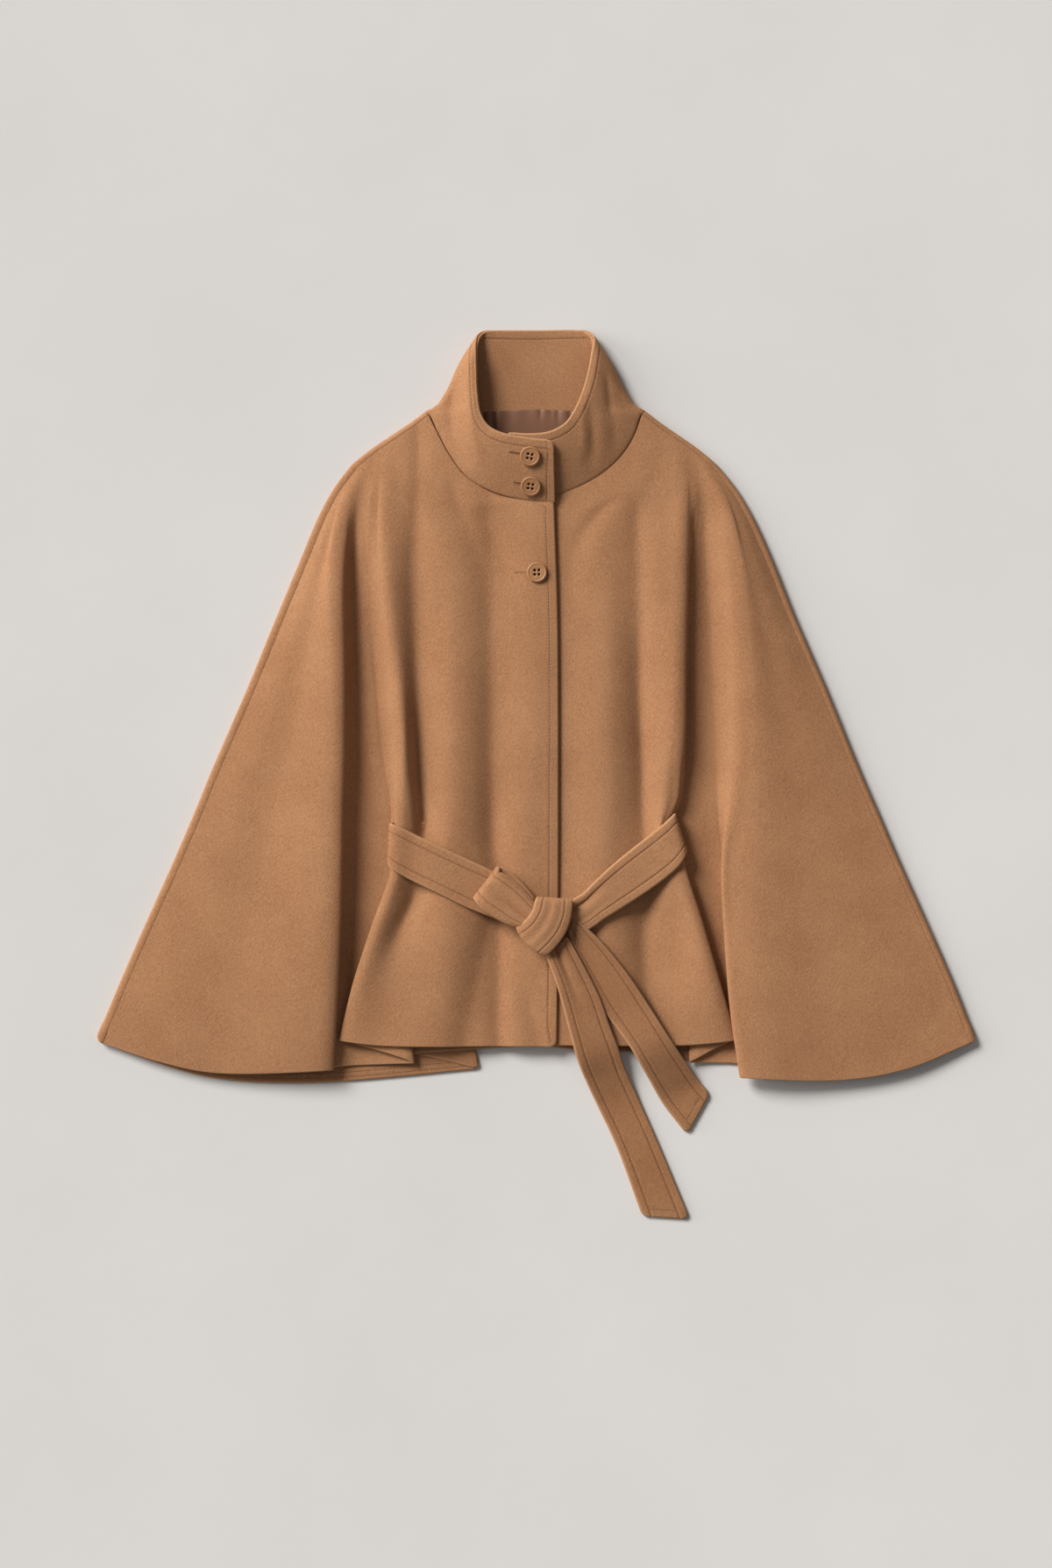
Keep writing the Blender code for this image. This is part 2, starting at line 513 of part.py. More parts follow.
def bridge_rings(mesh_bm, rings):
    """Closed body through rings of equal point counts, with a flat cap at each end."""
    loops = [[mesh_bm.verts.new(Vector(p) * MM) for p in ring] for ring in rings]
    count = len(loops[0])
    for near, far in zip(loops, loops[1:]):
        for i in range(count):
            mesh_bm.faces.new((near[i], near[(i + 1) % count], far[(i + 1) % count], far[i]))
    mesh_bm.faces.new(loops[0][::-1])
    mesh_bm.faces.new(loops[-1])
    bmesh.ops.recalc_face_normals(mesh_bm, faces=mesh_bm.faces)


def belt_rings(stations):
    """Rounded flat rings, square to the belt's run, one for each station."""
    uppers = smooth([(*s.upper, s.z) for s in stations], BELT_STEPS)
    lowers = smooth([(*s.lower, s.z) for s in stations], BELT_STEPS)
    middles = [(u + v) / 2 for u, v in zip(uppers, lowers)]
    half = BELT_THICK / 2
    rings = []
    for i, (upper, lower, middle) in enumerate(zip(uppers, lowers, middles)):
        along = (middles[min(i + 1, len(middles) - 1)] - middles[max(i - 1, 0)]).normalized()
        across = (lower - upper).normalized()
        normal = along.cross(across).normalized()
        ahead = along * (stations[i].ahead if BELT_STEPS == 1 else 0)
        inset = across * BELT_EDGE
        rings.append([upper, upper + inset + normal * half, middle + ahead + normal * half,
                      lower - inset + normal * half, lower, lower - inset - normal * half,
                      middle + ahead - normal * half, upper + inset - normal * half])
    return rings


def make_belt():
    for name, stations in BELT_STRETCHES.items():
        mesh_bm = bmesh.new()
        bridge_rings(mesh_bm, belt_rings(stations))
        add_object(name, mesh_bm)


# The knot: its outline seen from above, and how that outline shrinks and slides from its underside to its top
KNOT_OUTLINE = ((0.8, -139.5), (22, -139), (43.5, -143.5), (43, -160), (36, -183), (24.5, -199.5), (11.5, -206.5),
                (3.5, -202.5), (-11.5, -190.5), (-22, -172.5), (-7, -161.5))
KNOT_MIDDLE = (16.0, -171.0)
KnotLayer = namedtuple("KnotLayer", "z scale")
KNOT_LAYERS = (KnotLayer(21.4, 0.84), KnotLayer(24.5, 0.96), KnotLayer(30, 1), KnotLayer(36, 1),
               KnotLayer(40.5, 0.92), KnotLayer(43.5, 0.72), KnotLayer(45, 0.4))


def make_knot():
    mesh_bm = bmesh.new()
    cx, cy = KNOT_MIDDLE
    rings = [[(lerp(cx, x, layer.scale), lerp(cy, y, layer.scale), layer.z) for x, y in KNOT_OUTLINE]
             for layer in KNOT_LAYERS]
    bridge_rings(mesh_bm, rings)
    add_object("belt_knot", mesh_bm)


# ---------------------------------------------------------------- buttons

# Where each button is sewn: (x, y) over the panel that it fastens
COLLAR_BUTTONS = ((-6.9, 361), (-6, 327.7))
FRONT_BUTTON = (1, 229.5)
BUTTON_STAND = 0.7          # thread shank between cloth and button
# the turned half profile, as shares of the button's radius and of its thickness
BUTTON_PROFILE = ((0.0, 0.0), (0.78, 0.0), (0.96, 0.26), (1.0, 0.56), (0.96, 0.91), (0.87, 1.0), (0.77, 0.88),
                  (0.71, 0.68), (0.0, 0.62))
BUTTON_SIDES = 28


def surface_at(grid, x, y):
    """Highest point and normal of a grid of points over (x, y)."""
    best = None
    for upper, lower in zip(grid, grid[1:]):
        for a, b, c, d in zip(upper, upper[1:], lower[1:], lower):
            for p, q, r in ((a, b, c), (a, c, d)):
                area = (q.x - p.x) * (r.y - p.y) - (r.x - p.x) * (q.y - p.y)
                if abs(area) < 1e-6:
                    continue
                s = ((x - p.x) * (r.y - p.y) - (r.x - p.x) * (y - p.y)) / area
                t = ((q.x - p.x) * (y - p.y) - (x - p.x) * (q.y - p.y)) / area
                if s < -1e-6 or t < -1e-6 or s + t > 1 + 1e-6:
                    continue
                z = p.z + s * (q.z - p.z) + t * (r.z - p.z)
                if best is None or z > best[0].z:
                    normal = (q - p).cross(r - p).normalized()
                    best = (Vector((x, y, z)), normal if normal.z > 0 else -normal)
    return best


def make_button(name, panel, place):
    point, normal = surface_at(panel, *place)
    mesh_bm = bmesh.new()
    profile = [mesh_bm.verts.new(Vector((r * BUTTON_RADIUS, 0, h * BUTTON_THICK)) * MM) for r, h in BUTTON_PROFILE]
    edges = [mesh_bm.edges.new(pair) for pair in zip(profile, profile[1:])]
    bmesh.ops.spin(mesh_bm, geom=profile + edges, cent=(0, 0, 0), axis=(0, 0, 1), angle=2 * math.pi,
                   steps=BUTTON_SIDES, use_merge=True)
    bmesh.ops.remove_doubles(mesh_bm, verts=mesh_bm.verts, dist=0.000005)
    bmesh.ops.recalc_face_normals(mesh_bm, faces=mesh_bm.faces)
    button = add_object(name, mesh_bm, BUTTON_BROWN, 0.45)
    button.location = (point + normal * (WOOL / 2 + BUTTON_STAND)) * MM
    button.rotation_euler = normal.to_track_quat("Z", "Y").to_euler()
    bpy.context.view_layer.update()
    for index, turn in enumerate((45, 135, 225, 315)):
        reach = BUTTON_HOLE_SPACING / math.sqrt(2)
        place_on_button = Vector((math.cos(math.radians(turn)), math.sin(math.radians(turn)), 0)) * reach * MM
        cutter_bm = bmesh.new()
        bmesh.ops.create_cone(cutter_bm, cap_ends=True, segments=8, radius1=BUTTON_HOLE / 2 * MM,
                              radius2=BUTTON_HOLE / 2 * MM, depth=4 * BUTTON_THICK * MM)
        cutter = add_object(f"{name}_hole_{index}", cutter_bm)
        cutter.matrix_world = (button.matrix_world @ Matrix.Translation(place_on_button)
                               @ Matrix.Rotation(math.radians(9), 4, "Z"))
        cutter.hide_render = True
        cutter.display_type = "WIRE"
        hole = button.modifiers.new(f"hole_{index}", "BOOLEAN")
        hole.operation = "DIFFERENCE"
        hole.object = cutter


# ---------------------------------------------------------------- build

for leftover in list(bpy.data.objects):
    bpy.data.objects.remove(leftover, do_unlink=True)

right_front = front_rows(RIGHT_FRONT, RIGHT_NECK, RIGHT_HEM, RIGHT_ROLL, -1)
left_front = front_rows(LEFT_FRONT, LEFT_NECK, LEFT_HEM, LEFT_ROLL, 1)
make_front("front_right", right_front)
make_front("front_left", left_front)
no_flare = BackFlare(0, 0, 0, 95, 115, 0)
right_seam = seam_line(right_front)
left_seam = seam_line(left_front)
levels = [(right_seam[0].y - p.y) / (right_seam[0].y - right_seam[-1].y) for p in right_seam]
right_back = half_back(right_seam, levels, -1, RIGHT_LAP, flare_at, RIGHT_BACK_HEM)
left_back = half_back(left_seam, levels, 1, LEFT_LAP, lambda y: no_flare, LEFT_BACK_HEM)
make_back(right_back, left_back)
neck_rows = NECK_CORNER * ROW_STEPS + 1
collar = collar_grid(collar_seam([row[0] for row in right_front[:neck_rows]], right_back[0], left_back[0],
                                 [row[0] for row in left_front[:neck_rows]]))
make_collar(collar)
make_lining()
make_belt()
make_knot()
for number, place in enumerate(COLLAR_BUTTONS, 1):
    make_button(f"button_{number}", collar, place)
make_button("button_3", right_front, FRONT_BUTTON)
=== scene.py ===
"""A belted camel wool cape lying flat on its back, seen from straight above.

Lengths are written in millimetres and turned to metres when a mesh is made. X runs across the cape, Y up its
length and Z away from the surface that it lies on. "Out" is the distance from the centre line. Right and left
are the wearer's: the right front lies at -X and laps over the left.
"""
import math
from collections import namedtuple

import bmesh
import bpy
import numpy as np
from mathutils import Matrix, Vector


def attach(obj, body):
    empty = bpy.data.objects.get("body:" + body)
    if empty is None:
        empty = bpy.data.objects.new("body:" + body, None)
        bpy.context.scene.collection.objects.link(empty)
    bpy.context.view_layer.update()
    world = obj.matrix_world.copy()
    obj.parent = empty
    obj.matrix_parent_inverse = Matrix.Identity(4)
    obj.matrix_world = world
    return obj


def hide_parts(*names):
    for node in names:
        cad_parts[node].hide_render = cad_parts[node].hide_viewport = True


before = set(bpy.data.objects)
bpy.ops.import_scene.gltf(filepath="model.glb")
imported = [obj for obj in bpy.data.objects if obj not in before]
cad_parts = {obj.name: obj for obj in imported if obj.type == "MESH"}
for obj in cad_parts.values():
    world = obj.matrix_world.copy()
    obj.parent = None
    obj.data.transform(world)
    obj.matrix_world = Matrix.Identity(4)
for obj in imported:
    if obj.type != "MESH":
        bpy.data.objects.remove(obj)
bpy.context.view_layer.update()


# ---------------------------------------------------------------- fronts
# Each front is cut in one with its wing from brushed wool coating, and hangs from neck and shoulder in soft
# upright folds. Below the slit for the belt its side is laid into a flat pleat. Both edges are turned and
# bagged out with a facing, which makes them a little thicker than the cloth.
MM = 0.001
WOOL = 2.2              # wall of one layer of the cloth


def mix(a, b, share):
    return a + (b - a) * share


def soft_step(low, high, value):
    """0 below low, 1 above high, smooth between."""
    t = np.clip((np.asarray(value, float) - low) / (high - low), 0.0, 1.0)
    return t * t * (3 - 2 * t)


def even(count):
    """Shares that cut one span of a curve into this many equal steps."""
    return [step / count for step in range(count)]


def curve_through(points, spans):
    """Centripetal Catmull-Rom curve through the points. spans gives the shares at which each span is cut."""
    points = np.asarray(points, float)
    knots = np.vstack([2 * points[0] - points[1], points, 2 * points[-1] - points[-2]])
    curve = []
    for span, shares in enumerate(spans):
        p0, p1, p2, p3 = knots[span:span + 4]
        t1 = max(np.linalg.norm(p1 - p0), 1e-6) ** 0.5
        t2 = t1 + max(np.linalg.norm(p2 - p1), 1e-6) ** 0.5
        t3 = t2 + max(np.linalg.norm(p3 - p2), 1e-6) ** 0.5
        t = mix(t1, t2, np.asarray(shares, float))[:, None]
        a1 = mix(p0, p1, t / t1)
        a2 = mix(p1, p2, (t - t1) / (t2 - t1))
        a3 = mix(p2, p3, (t - t2) / (t3 - t2))
        b1 = mix(a1, a2, t / t2)
        b2 = mix(a2, a3, (t - t1) / (t3 - t1))
        curve.append(mix(b1, b2, (t - t1) / (t2 - t1)))
    curve.append(points[-1:])
    return np.vstack(curve)


def grid_normals(grid):
    """Unit normals of a grid of points, rows by columns by xyz."""
    along = np.gradient(grid, axis=1)
    down = np.gradient(grid, axis=0)
    normal = np.cross(along, down)
    length = np.linalg.norm(normal, axis=2, keepdims=True)
    return normal / np.maximum(length, 1e-9)


RIM_RINGS = 3           # points round each rounded edge of a cloth, between its two faces
RIM_FIBRES_AND_HIGHLIGHT = 0.7          # lighter edge on the faces next to a rim, which itself has 1: loose fibres, partly painted highlight
GROOVE_SHADE = 0.35     # how much painted shade a face gets on a row of stitching, where its groove is shaded
SEAM_SHADE = 0.9        # painted shade on a rim in a seam
SEAM_FACE_SHADE = 0.15  # and on the faces next to it


def cloth(name, grid, wall, material, skip=(), faces_up=True, sewn=None, sunk=0.0):
    """A cloth from its middle surface: two faces and rounded rims. skip lists the cells left open, as at a
    slit. sewn marks the points of the rims that are seams, and sunk, 0 to 1, how near each point is to a row
    of stitching. Both darken the colour there: painted shade of the seams and grooves."""
    rows, columns = grid.shape[:2]
    normal = grid_normals(grid)
    if (normal[rows // 2, columns // 4, 2] > 0) != faces_up:
        normal = -normal
    half = np.broadcast_to(np.asarray(wall, float) / 2, (rows, columns))
    open_cells = set(skip)
    quads = []
    for r in range(rows - 1):
        for c in range(columns - 1):
            if (r, c) not in open_cells:
                corner = r * columns + c
                quads.append((corner, corner + columns, corner + columns + 1, corner + 1))
    middle = grid.reshape(-1, 3)
    normal = normal.reshape(-1, 3)
    half = half.reshape(-1)
    a, b, c = (middle[quads[len(quads) // 2][i]] for i in (0, 1, 2))
    if np.dot(np.cross(b - a, c - b), normal[quads[len(quads) // 2][0]]) < 0:
        quads = [quad[::-1] for quad in quads]
    edge_use = {}
    for quad in quads:
        for i in range(4):
            edge = (quad[i], quad[(i + 1) % 4])
            if edge[::-1] in edge_use:
                del edge_use[edge[::-1]]
            else:
                edge_use[edge] = True
    outward = {}
    for start, end in edge_use:
        side = np.cross(middle[end] - middle[start], normal[start] + normal[end])
        side /= max(np.linalg.norm(side), 1e-9)
        for corner in (start, end):
            outward[corner] = outward.get(corner, 0) + side
    count = len(middle)
    points = [middle + normal * half[:, None], middle - normal * half[:, None]]
    ring_start = {}
    extra = []
    for corner, side in outward.items():
        side = side - normal[corner] * np.dot(side, normal[corner])
        side /= max(np.linalg.norm(side), 1e-9)
        ring_start[corner] = 2 * count + len(extra)
        for ring in range(1, RIM_RINGS + 1):
            turn = math.pi * ring / (RIM_RINGS + 1)
            reach = normal[corner] * math.cos(turn) + side * math.sin(turn)
            extra.append(middle[corner] + reach * half[corner])
    points.append(np.array(extra))
    faces = list(quads) + [tuple(i + count for i in quad[::-1]) for quad in quads]
    for start, end in edge_use:
        near = [start] + [ring_start[start] + k for k in range(RIM_RINGS)] + [start + count]
        far = [end] + [ring_start[end] + k for k in range(RIM_RINGS)] + [end + count]
        for k in range(RIM_RINGS + 1):
            faces.append((near[k], near[k + 1], far[k + 1], far[k]))
    mesh = bpy.data.meshes.new(name)
    mesh.from_pydata((np.vstack(points) * MM).tolist(), [], faces)
    # rim holds a lighter edge colour: loose fibres, partly painted highlight
    rim = np.zeros(len(mesh.vertices), np.float32)
    rim[2 * count:] = 1.0
    for corner in outward:
        rim[corner] = rim[corner + count] = RIM_FIBRES_AND_HIGHLIGHT
    # sunk holds painted shade: darker in the grooves of stitching and in the seams
    deep = np.zeros(len(mesh.vertices), np.float32)
    deep[:2 * count] = np.tile(GROOVE_SHADE * np.broadcast_to(sunk, (rows, columns)).reshape(-1), 2)
    seams = np.zeros(count, bool) if sewn is None else np.broadcast_to(sewn, (rows, columns)).reshape(-1)
    for corner in outward:
        if seams[corner]:
            ring = slice(ring_start[corner], ring_start[corner] + RIM_RINGS)
            rim[ring], rim[corner], rim[corner + count] = 0.0, 0.0, 0.0
            deep[ring] = SEAM_SHADE
            deep[corner] = deep[corner + count] = SEAM_FACE_SHADE
    mesh.attributes.new("rim", "FLOAT", "POINT").data.foreach_set("value", rim)
    mesh.attributes.new("sunk", "FLOAT", "POINT").data.foreach_set("value", deep)
    used = np.zeros(len(mesh.vertices), bool)
    for quad in quads:
        for corner in quad:
            used[corner] = used[corner + count] = True
    used[2 * count:] = True
    piece = bpy.data.objects.new(name, mesh)
    bpy.context.scene.collection.objects.link(piece)
    if not used.all():
        drop_loose(mesh, used)
    mesh.validate()
    mesh.shade_smooth()
    mesh.materials.append(material)
    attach(piece, "root")
    return piece


def drop_loose(mesh, used):
    """Removes the points that no face uses, as inside a slit."""
    work = bmesh.new()
    work.from_mesh(mesh)
    work.verts.ensure_lookup_table()
    loose = [work.verts[i] for i in np.nonzero(~used)[0]]
    bmesh.ops.delete(work, geom=loose, context="VERTS")
    work.to_mesh(mesh)
    work.free()


def linear(hex_colour):
    """Linear RGBA of an sRGB colour written as six hex digits."""
    channels = [int(hex_colour[i:i + 2], 16) / 255 for i in (0, 2, 4)]
    return [c / 12.92 if c <= 0.04045 else ((c + 0.055) / 1.055) ** 2.4 for c in channels] + [1.0]


def add_node(tree, kind, inputs=None, **settings):
    """Adds a shader node. inputs gives its sockets a value, or another node's output to link."""
    made = tree.nodes.new("ShaderNode" + kind)
    for name, value in settings.items():
        setattr(made, name, value)
    for socket, value in (inputs or {}).items():
        if isinstance(value, bpy.types.NodeSocket):
            tree.links.new(value, made.inputs[socket])
        else:
            made.inputs[socket].default_value = value
    return made


def new_material(name):
    """An empty material with its Principled shader."""
    material = bpy.data.materials.new(name)
    material.use_nodes = True
    return material, material.node_tree, material.node_tree.nodes["Principled BSDF"]


def blend(tree, share, low, high):
    """The colour between two others, each written in hex or taken from another node's output."""
    made = add_node(tree, "Mix", {"Factor": share}, data_type="RGBA")
    for name, colour in (("A", low), ("B", high)):
        # a Mix node has inputs of the same name for numbers and vectors
        socket = [s for s in made.inputs if s.name == name and s.type == "RGBA"][0]
        if isinstance(colour, str):
            socket.default_value = linear(colour)
        else:
            tree.links.new(colour, socket)
    return made.outputs[2]


# Brushed wool coating, woven as a twill, milled and raised, so that a short nap lies over the weave in one
# slanting direction. The nap is about 0.7 mm across; it is drawn twice as coarse, or it would not show.
NAP_LENGTH = 0.0032
NAP_WIDTH = 0.0013
NAP_SLANT = 50.0        # degrees from the cape's width
MOTTLE = 0.06


def brushed_wool(name, shade="b3835d", deep="9a6a48", fibres_and_highlight="d9ab80", fibres_and_highlight_share=0.22, painted_crevice_shade="5b3620"):
    material, tree, shader = new_material(name)
    place = add_node(tree, "TexCoord").outputs["Object"]
    turned = {"Vector": place, "Rotation": (0, 0, math.radians(NAP_SLANT)),
              "Scale": (NAP_LENGTH, NAP_WIDTH, NAP_WIDTH * 2)}
    slant = add_node(tree, "Mapping", turned, vector_type="TEXTURE")
    nap = add_node(tree, "TexNoise", {"Vector": slant.outputs[0], "Scale": 1.0, "Detail": 3.0,
                                      "Roughness": 0.6})
    mottle = add_node(tree, "TexNoise", {"Vector": place, "Scale": 1 / MOTTLE, "Detail": 3.0,
                                         "Roughness": 0.55})
    grain = add_node(tree, "MapRange", {"Value": nap.outputs["Fac"], "From Min": 0.3, "From Max": 0.7})
    tone = add_node(tree, "MapRange", {"Value": mottle.outputs["Fac"], "From Min": 0.3, "From Max": 0.7,
                                       "To Min": -0.2, "To Max": 0.2})
    share = add_node(tree, "Math", {0: grain.outputs[0], 1: tone.outputs[0]}, operation="ADD")
    body = blend(tree, share.outputs[0], deep, shade)
    # The rim attribute mixes in a lighter edge colour: loose fibres, partly painted highlight
    rim = add_node(tree, "Attribute", attribute_name="rim")
    fibres_and_highlight_at = add_node(tree, "Math", {0: rim.outputs["Fac"], 1: fibres_and_highlight_share}, operation="MULTIPLY")
    edge = blend(tree, fibres_and_highlight_at.outputs[0], body, fibres_and_highlight)
    # The sunk attribute mixes in painted crevice shade at seams and rows of stitching
    sunk = add_node(tree, "Attribute", attribute_name="sunk")
    depth = add_node(tree, "Math", {0: sunk.outputs["Fac"], 1: 0.7}, operation="MULTIPLY")
    stitched = blend(tree, depth.outputs[0], edge, painted_crevice_shade)
    raised = add_node(tree, "Bump", {"Height": nap.outputs["Fac"], "Strength": 0.5, "Distance": 0.0008})
    tree.links.new(stitched, shader.inputs["Base Color"])
    tree.links.new(raised.outputs[0], shader.inputs["Normal"])
    shader.inputs["Roughness"].default_value = 0.95
    shader.inputs["Specular IOR Level"].default_value = 0.15
    shader.inputs["Sheen Weight"].default_value = 0.25
    shader.inputs["Sheen Roughness"].default_value = 0.5
    shader.inputs["Sheen Tint"].default_value = linear("e8c8a0")
    return material


wool = brushed_wool("brushed camel wool coating")

# Each section of a front runs from its inner edge to the seam with the back. edge_y and seam_y are its two
# ends. closed is how far the side pleat has shut, drop how much of the hem's curve it has, tight how narrow
# its folds are. The rest are creases in order, each (out, z): two ridges and two troughs of the body, the
# fold at its side, the fold under that, the valley, and the wing's inner ridge, middle and seam.
Section = namedtuple(
    "Section", "edge_y seam_y closed drop tight edge c1 c2 c3 c4 side under valley wing mid seam")

RIGHT_FRONT = (
    Section(408.5, 350.5, 0, 0, 0.2, (121, 11), (131, 10.5), (142, 10), (152, 9.5), (162, 9.2),
            (172, 9), (181, 8.5), (188, 8.5), (194, 8), (200, 7.8), (206.5, 7.5)),
    Section(363.5, 300.5, 0, 0, 0.6, (98, 15), (112, 15.5), (128, 15), (143, 15), (157, 14.5),
            (176, 16), (190, 13.5), (202, 11.5), (213, 14.5), (223, 12), (235.5, 7.5)),
    Section(320.5, 243.5, 0, 0, 0.9, (47, 19.5), (68, 20.5), (97, 18.5), (124, 19.5), (148, 18),
            (176, 21), (194, 12.5), (207, 7.5), (218, 21), (238, 16.5), (259.5, 8)),
    Section(308.5, 183.5, 0, 0, 1, (-20.5, 21.5), (8, 22.3), (56, 20), (99, 22), (143, 18.5),
            (174, 24), (193, 10), (207, 5.2), (219.5, 27), (250, 19), (284.5, 8)),
    Section(183.5, 93.5, 0, 0, 1, (-24.5, 21.6), (2, 22.6), (50, 19.4), (94, 23.6), (135, 16.5),
            (165, 25), (184, 7), (207, 5), (218, 30), (267, 19), (321.5, 8)),
    Section(63.5, 3.5, 0, 0, 1, (-25.5, 21), (0, 22.4), (48, 18.6), (93, 24.4), (134, 14.5),
            (158, 25.5), (176, 6.5), (205, 5), (218, 31), (287, 18), (360.5, 8)),
    Section(-30, -50, 0.4, 0.05, 1, (-25.5, 18.5), (6, 20), (50, 16.8), (95, 21.8), (133, 12.5),
            (160, 20.8), (163.5, 6), (205, 5), (220, 31), (302, 18), (382.5, 8)),
    Section(-98, -108, 0.6, 0.15, 1, (-25.5, 16.5), (13, 19.5), (57, 16), (105, 22), (137, 13),
            (162.5, 21), (163, 6), (207, 5), (221, 31), (313, 18), (407.5, 8)),
    Section(-176.5, -180.5, 1, 0.35, 1, (-25, 16), (16, 20), (55, 16.8), (100, 22.4), (150, 15.5),
            (187.5, 23), (155.5, 7), (210, 5), (223, 30), (333, 17.5), (440, 8)),
    Section(-243.5, -246, 1, 0.65, 1, (-24.5, 15.5), (19, 17), (64, 15.8), (104, 21.2), (168, 17),
            (208.5, 20), (147.5, 8), (213, 5), (227, 27), (350, 17), (468.5, 8)),
    Section(-310, -306.5, 1, 1, 1, (-23.5, 15), (24, 16.2), (73, 15.6), (110, 19.8), (180, 17.5),
            (223.5, 16), (139.5, 9), (214, 5.5), (231.5, 21), (367, 14), (493.5, 8)),
)

LEFT_FRONT = (
    Section(409.5, 350.5, 0, 0, 0.2, (119.5, 11), (128, 10.5), (137, 10), (146, 9.5), (156, 9.2),
            (166, 9), (175, 8.5), (182, 8.5), (189, 8), (196, 7.8), (204.5, 7.5)),
    Section(364.5, 300.5, 0, 0, 0.6, (98, 14.2), (111, 15), (127, 15.5), (142, 14.5), (156, 15.5),
            (172, 16.5), (184, 12.5), (193, 11.5), (208, 16), (221, 12.5), (235.5, 7.5)),
    Section(330, 243.5, 0, 0, 0.9, (54, 16), (72, 17), (98, 18.5), (122, 17), (147, 18.5),
            (170, 21.5), (181, 10.5), (193, 8), (215, 20.5), (237, 18.5), (261.5, 8)),
    Section(310.5, 183.5, 0, 0, 1, (-19.5, 14), (28.5, 16.4), (78, 20.5), (112, 18), (144, 22),
            (168, 24), (177, 9), (196, 5.5), (220, 23.5), (252, 19.5), (285.5, 8)),
    Section(183.5, 93.5, 0, 0, 1, (-19.5, 15), (28.5, 17), (82, 22.5), (117, 17), (149, 24.5),
            (165.5, 26), (174, 7), (201, 5), (226, 26), (270, 19.5), (324.5, 8)),
    Section(63.5, 3.5, 0, 0, 1, (-19.5, 14.5), (28.5, 16.4), (83, 23), (120, 15), (150, 25.5),
            (164, 26.5), (172, 6.5), (204, 5), (227, 27), (288, 20), (361.5, 8)),
    Section(-18, -40, 0.4, 0.05, 1, (-19.5, 12.5), (28.5, 14.4), (82, 20.5), (118, 13), (147, 22),
            (163, 21), (166, 6), (205, 5), (222, 26.5), (292, 20), (380.5, 8)),
    Section(-86, -98, 0.6, 0.15, 1, (-19.5, 11.5), (28.5, 12.5), (76, 19.5), (122, 13), (150, 21.5),
            (166, 21), (166, 6), (212, 5), (212, 28), (305, 20), (405.5, 8)),
    Section(-170, -176, 1, 0.35, 1, (-19.5, 11.5), (28.5, 12.5), (73, 18.5), (124, 12.5), (166, 20),
            (189.5, 23.5), (172, 6), (222, 5), (215, 29), (326, 19.5), (440.5, 8)),
    Section(-243.5, -246, 1, 0.65, 1, (-19.5, 11), (28.5, 12), (76, 17), (129, 13.5), (178, 19),
            (210, 22), (174, 5.5), (229, 5), (221.5, 26), (340, 18.5), (471, 8)),
    Section(-309, -306.5, 1, 1, 1, (-19.5, 10.5), (28.5, 11.5), (78.5, 15), (126.5, 13), (178.5, 16),
            (228.5, 16), (175.5, 5), (240.5, 5), (232.5, 20.5), (348.5, 14.5), (494.5, 8)),
)

# The neck seam from the shoulder to the front edge, (out, y, z). Each front's first sections end on it.
RIGHT_NECK = ((121, 408.5, 11), (112, 390, 12.6), (98, 363.5, 15), (78, 338, 17), (47, 320.5, 19.5),
              (14, 312.3, 21.2), (-20.5, 308.5, 21.5))
LEFT_NECK = ((119.5, 409.5, 11), (111, 386, 12.6), (98, 364.5, 14.2), (80, 346.5, 15.4), (54, 330, 16),
             (20, 317.3, 15.6), (-19.5, 310.5, 14))

# How far the hem hangs below the straight line from its edge to its seam, at each crease in turn
HemDrop = namedtuple("HemDrop", "body side under valley wing mid outer")
RIGHT_HEM = HemDrop(-1, 5, -20, -24, -28, -32.5, -20)
LEFT_HEM = HemDrop(-1, 5, -20, -24, -37, -41, -29)

# The share by which the wing's inner edge rolls over its valley, section by section
RIGHT_ROLL = (0, 0, 0.2, 0.6, 0.8, 0.9, 0.9, 0.9, 1, 1, 1)
LEFT_ROLL = (0, 0, 0, 0, 0, 0, 0, 0.5, 1, 1, 1)

NECK_CORNER = 3         # section whose inner end is the corner of neck seam and front edge
FOLD_HALF = 7.0         # half width of the rounded edge of a fold
SEAM_GAP = 0.3
ROW_STEPS = 18          # steps from each section to the next one
SLIT_SECTIONS = (6, 7)
SLIT_SPANS = (6, 7, 8)
SLIT_CLOSED = 4         # rows at the top of the slit that are drawn shut above the belt

# A front's steps from each crease to the next. The first close in on the edge and on its row of stitching.
EDGE_STITCH = 9.0
EDGE_SHARES = [0.0, 0.015, 0.04, 0.09, 0.15, 0.19, 0.215, 0.235, 0.255, 0.29, 0.34, 0.42, 0.52, 0.64, 0.76,
               0.88]
FRONT_STEPS = [EDGE_SHARES] + [even(n) for n in (11, 11, 9, 8, 4, 4, 10, 4, 4, 8, 4, 6, 6, 20, 12)] + [
    even(10) + [0.93, 0.96, 0.98]]


